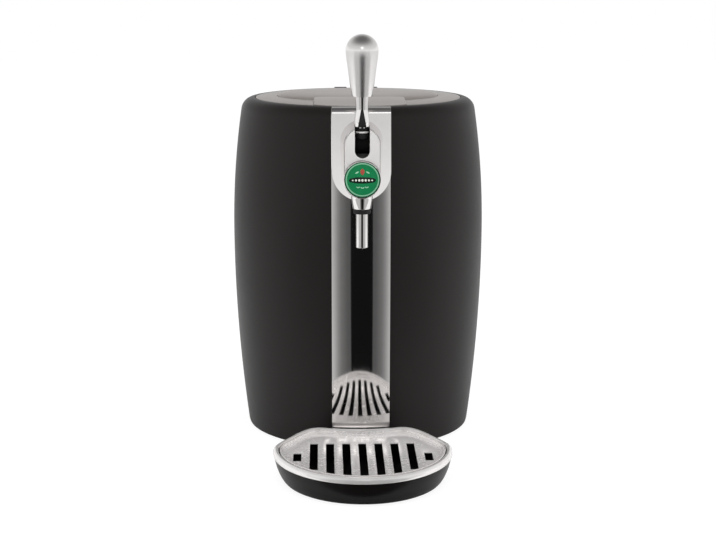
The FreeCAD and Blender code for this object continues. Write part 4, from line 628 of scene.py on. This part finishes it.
blasted = metal("blasted_aluminium", (0.88, 0.86, 0.85), 0.26, (1, 1, 0.3), 1400.0, 0.006, 0.03)
ball_r, ball_z = 16.3, 426.9
bm = bmesh.new()
point = draw_line(bm, bm.verts.new((0, lever_y, 381.8)), *[(radius, lever_y, z) for radius, z in (
    (9.2, 381.8), (9.9, 382.1), (10.2, 382.8), (11.1, 388.0), (12.1, 393.5), (13.5, 404.0), (14.9, 414.5),
    (15.75, 421.0), (ball_r, ball_z))])
sweep(bm, point, (0, lever_y, ball_z), 90, 18)
fit("lever_handle", spin_round(bm, lever_y, 80), "lever", "satin_metal", blasted, "lever_handle")

# The lid: a painted moulding with a low oval crown inside a fine groove, cut
# away in front for the button, with a skirt that goes down inside the barrel.
lid_r, lid_top = 112.6, 366.3
crown_half_x, crown_half_y, crown_y = 88.5, 67.5, 12.0
lid_paint = plastic("lid_paint", (0.205, 0.185, 0.172), 0.33, 1900.0, 0.06, 0.5, 0.04)
bm = bmesh.new()


def oval(bm, half_x, half_y, z, y=0.0):
    """Draws a flat oval, and gives its edges."""
    made = bmesh.ops.create_circle(bm, segments=128, radius=1.0, matrix=(
        Matrix.Translation((0, y, z)) @ Matrix.Diagonal((half_x, half_y, 1, 1))))
    return list({line for v in made["verts"] for line in v.link_edges})


rings = [oval(bm, r, r, z) for r, z in (
    (110.1, 353.0), (lid_r, 353.0), (lid_r, 365.5), (112.37, 366.07), (111.8, lid_top))]
rings += [oval(bm, crown_half_x - inset, crown_half_y - inset, z, crown_y) for inset, z in (
    (-1.0, lid_top), (-0.65, 366.05), (-0.5, 365.5), (0.1, 365.5), (0.3, 366.5), (1.2, 367.4), (3.2, 368.4),
    (6.5, 369.3), (11, 370.0), (18, 370.6), (30, 371.0), (50, 371.2))]
skin(bm, rings)
bmesh.ops.edgeloop_fill(bm, edges=rings[-1])
# the recess for the button has round rear corners, and walls a little deeper than the button
recess_half, recess_rear, recess_floor = 48.4, -49.7, 361.2
recess_bend, bend_x, bend_y = 8.3, 40.1, -58.0
planes = [((recess_half, 0, 0), (1, 0, 0)), ((-recess_half, 0, 0), (-1, 0, 0)),
          ((0, recess_rear, 0), (0, 1, 0)), ((0, 0, recess_floor), (0, 0, -1))]
for side in (1, -1):
    for step in (15, 30, 45, 60, 75):
        turn = math.radians(step)
        away = (side * math.cos(turn), math.sin(turn), 0)
        planes.append(((side * bend_x + recess_bend * away[0], bend_y + recess_bend * away[1], 0), away))
cut_out(bm, *planes)
rim_limit, lowest_rim = -40, 361.5
rim = [line for line in bm.edges if line.is_boundary and max(v.co.y for v in line.verts) < rim_limit
       and min(v.co.z for v in line.verts) > lowest_rim]
for g in bmesh.ops.extrude_edge_only(bm, edges=rim)["geom"]:
    if isinstance(g, bmesh.types.BMVert):
        g.co.z = recess_floor
fit("lid_shell", bm, "lid", "lid_paint", lid_paint, "lid_shell")

# The lid's button: a tab with round rear corners, which rises to meet the
# crown and is pressed to let the latch go.
button_paint = plastic("button_paint", (0.235, 0.215, 0.20), 0.36, 1900.0, 0.06, 0.5, 0.04)
half, rear, reach, bend = 48.0, -50.0, 112.3, 8.0
rise_front, rise_run, button_rise = 108, 58, 4.0
bm = bmesh.new()
first = bm.verts.new((half, -math.sqrt(reach ** 2 - half ** 2), lid_top))
spread = 2 * math.degrees(math.asin(half / reach))
point = sweep(bm, first, (0, 0, lid_top), -spread, 48, False)
point = draw_line(bm, point, (-half, rear - bend, lid_top))
point = sweep(bm, point, (-half + bend, rear - bend, lid_top), -90, 10, False)
point = draw_line(bm, point, (half - bend, rear, lid_top))
point = sweep(bm, point, (half - bend, rear - bend, lid_top), -90, 10, False)
bm.edges.new((point, first))
bmesh.ops.edgeloop_fill(bm, edges=bm.edges)
for line_y in (-100, -90, -80, -70, -62, -56):
    bmesh.ops.bisect_plane(bm, geom=everything(bm), plane_co=(0, line_y, 0), plane_no=(0, 1, 0))
for v in bm.verts:
    v.co.z += button_rise * math.sin(math.pi / 2 * min(1.0, max(0.0, (v.co.y + rise_front) / rise_run)))
fit("lid_button", bm, "button", "button_paint", button_paint, "lid_button", wall=4.6, edge=0.7)

# The drip tray: a black bowl, round in front and hollowed behind to fit
# round the barrel, which hangs on a tab under the column.
tray_middle, front_r, rear_r, corner_r = -211.0, 90.0, 148.0, 22.0


def tray_loop(bm, inset, z, ahead=0.0):
    """Draws the tray's outline, drawn in by an inset, at one height, and gives its edges."""
    older = set(bm.edges)
    middle, near, far = tray_middle - ahead, front_r - inset, rear_r + inset
    bend = corner_r - inset
    y = (middle ** 2 + (far + bend) ** 2 - (near - bend) ** 2) / (2 * middle)
    x = math.sqrt((far + bend) ** 2 - y ** 2)
    side, back = math.degrees(math.atan2(y - middle, x)), math.degrees(math.atan2(-y, x))
    start = math.radians(side)
    first = bm.verts.new((near * math.cos(start), middle + near * math.sin(start), z))
    point = sweep(bm, first, (0, middle, z), -180 - 2 * side, 84, False)
    point = sweep(bm, point, (-x, y, z), back + side - 180, 12, False)
    point = sweep(bm, point, (0, 0, z), 180 - 2 * back, 24, False)
    return close_outline(bm, sweep(bm, point, (x, y, z), back + side - 180, 12, False), first, older)


def bow_front(bm, dip=1.6, dip_share=0.07, bow=5.0, width=1.007, narrowing=0.1, narrowing_run=42):
    """Bows the tray's front out and dips it, and narrows its back."""
    for v in bm.verts:
        back = min(1.0, max(0.0, v.co.y - tray_middle) / narrowing_run)
        share = max(0.0, tray_middle - v.co.y) / front_r
        v.co.x *= width - narrowing * back * back * (3 - 2 * back)
        v.co.y -= bow * share
        v.co.z -= min(dip, dip_share * v.co.z) * share


bowl_plastic = plastic("bowl_plastic", (0.0060, 0.0050, 0.0048), 0.30, 1300.0, 0.05, 0.22, 0.05)
bm = bmesh.new()
# from the middle of the underside up the outer wall, over the lip and down inside
walls = [tray_loop(bm, inset, z, ahead) for inset, z, ahead in (
    (16.0, 0.4, 4.4), (12.6, 0.4, 4.4), (11.0, 1.2, 4.1), (9.2, 3.0, 3.6), (7.1, 6.2, 3.0), (5.0, 10.4, 2.2),
    (3.0, 15.4, 1.3), (1.6, 20.4, 0.5), (1.0, 24.5, 0.0),
    (3.4, 24.5, 0.0), (4.0, 20.4, 0.5), (5.4, 15.4, 1.3), (7.4, 10.4, 2.2), (9.6, 6.2, 3.0), (12.6, 3.6, 4.0),
    (16.0, 3.2, 4.4))]
skin(bm, walls)
for ring in (walls[0], walls[-1]):
    bmesh.ops.edgeloop_fill(bm, edges=ring)
tab_middle, tab_size = (0, -131, 12), (40, 38, 4)
bmesh.ops.create_cube(bm, size=1.0, matrix=Matrix.Translation(tab_middle) @ Matrix.Diagonal((*tab_size, 1)))
bow_front(bm)
fit("tray_bowl", bm, "tray", "tray_plastic", bowl_plastic, "tray_bowl")

# The tray's rim: a polished ring with a rounded top that sits on the bowl.
bm = bmesh.new()
skin(bm, [tray_loop(bm, inset, z) for inset, z in (
    (5.9, 24.6), (0.9, 24.6), (0.3, 24.9), (0.0, 25.6), (0.0, 27.4), (0.3, 28.8), (1.0, 29.9), (2.0, 30.7),
    (3.2, 31.0), (4.3, 30.8), (5.2, 30.2), (5.6, 29.3), (5.6, 26.0), (5.9, 24.6))])
bow_front(bm)
rim_steel = metal("rim_steel", (0.93, 0.905, 0.895), 0.16, scale=120.0, depth=0.004, patchy=0.03, pure=0.55)
fit("tray_rim", bm, "tray", "chrome", rim_steel, "tray_rim")

# The drip grille: pressed steel that steps down inside the rim to a flat, with
# seven long slots that follow the bowed front and a short one at each end.
grille_steel = metal("grille_steel", (0.95, 0.92, 0.91), 0.27, (0.15, 1, 1), 1600.0, 0.01, 0.03, 0.01, 0.5)
flat_z = 25.9
bm = bmesh.new()
dish = [tray_loop(bm, inset, z) for inset, z in (
    (6.7, 24.8), (6.7, 29.3), (7.0, 29.7), (7.8, 29.7), (8.2, 29.3), (8.5, 27.6), (8.9, 27.2), (9.8, 27.2),
    (10.3, 26.9), (10.6, 26.1), (11.0, flat_z), (12.4, flat_z))]
# bridging can turn one of two outlines at the same height over, so each edge is
# joined to its fellow
for near, far in zip(dish, dish[1:]):
    for a, b in zip(near, far):
        bm.faces.new((*a.verts, b.verts[1], b.verts[0]))
bow_front(bm, 0.0)
slot_pitch, slot_wide, slot_rear, slot_reach, slot_ahead = 16.5, 4.1, 28, 76.6, 3.2
end_front, end_rear = -30, -4
flat = list(dish[-1])
for i in range(-4, 5):
    x = slot_pitch * i
    if abs(i) < 4:
        near_end = -math.sqrt(slot_reach ** 2 - (abs(x) + slot_wide) ** 2) - slot_ahead
        far_end = slot_rear
    else:
        near_end, far_end = end_front, end_rear
    ends = [bm.verts.new((x + across, tray_middle + along, flat_z)) for across, along in (
        (-slot_wide, near_end), (slot_wide, near_end), (slot_wide, far_end), (-slot_wide, far_end))]
    flat += [bm.edges.new(pair) for pair in zip(ends, ends[1:] + ends[:1])]
bmesh.ops.triangle_fill(bm, use_beauty=True, use_dissolve=False, edges=flat, normal=(0, 0, 1))
fit("drip_grille", bm, "grille", "grille_steel", grille_steel, "drip_grille", wall=1.5)

# Everything else keeps the shape it was made with and gets its own finish:
# feet, base, screws, hinge, latch, switch, cord entry, and what is inside.
finishes = {
    "dark_plastic": plastic("dark_plastic", (0.018, 0.018, 0.018), 0.5, 1100.0, 0.2),
    "tray_plastic": bowl_plastic,
    "lid_paint": lid_paint,
    "black_rubber": black_rubber,
    "chrome": chrome,
    "satin_metal": blasted,
    "shell_plastic": barrel_plastic,
    "button_paint": button_paint,
    "badge_enamel": enamel,
    "grille_steel": grille_steel,
    "liner_plastic": plastic("liner_plastic", (0.55, 0.55, 0.53), 0.45, 900.0, 0.1, 0.5, 0.03),
    "insulation": plastic("insulation_foam", (0.72, 0.70, 0.60), 0.95, 380.0, 0.9, 0.1, 0.12),
    "soft_line": plastic("soft_line", (0.62, 0.62, 0.56), 0.28, 500.0, 0.05, 0.5, 0.05),
    "module_white": plastic("module_ceramic", (0.78, 0.78, 0.75), 0.4, 700.0, 0.08, 0.5, 0.03),
    "circuit_board": plastic("circuit_board", (0.02, 0.13, 0.045), 0.42, 260.0, 0.25, 0.5, 0.3),
    "sleeve": plastic("capacitor_sleeve", (0.02, 0.02, 0.07), 0.25, 800.0, 0.03, 0.5, 0.1),
    "bare_aluminium": metal("bare_aluminium", (0.70, 0.70, 0.71), 0.36, (1, 1, 8), 300.0, 0.06, 0.08, 0.05),
    "fastener_steel": metal("zinced_steel", (0.56, 0.56, 0.55), 0.32, (1, 1, 1), 700.0, 0.06, 0.08, 0.06),
    "brass": metal("brass", (0.72, 0.50, 0.22), 0.28, (1, 1, 1), 600.0, 0.03, 0.05),
    "iron_core": metal("iron_core", (0.16, 0.15, 0.15), 0.55, (1, 1, 14), 260.0, 0.4, 0.12),
}
for entry in frame["record"]["subparts"]:
    node = frame["nodes"][entry["node"]]
    node.data.materials.clear()
    node.data.materials.append(finishes[entry["material_slot"]])
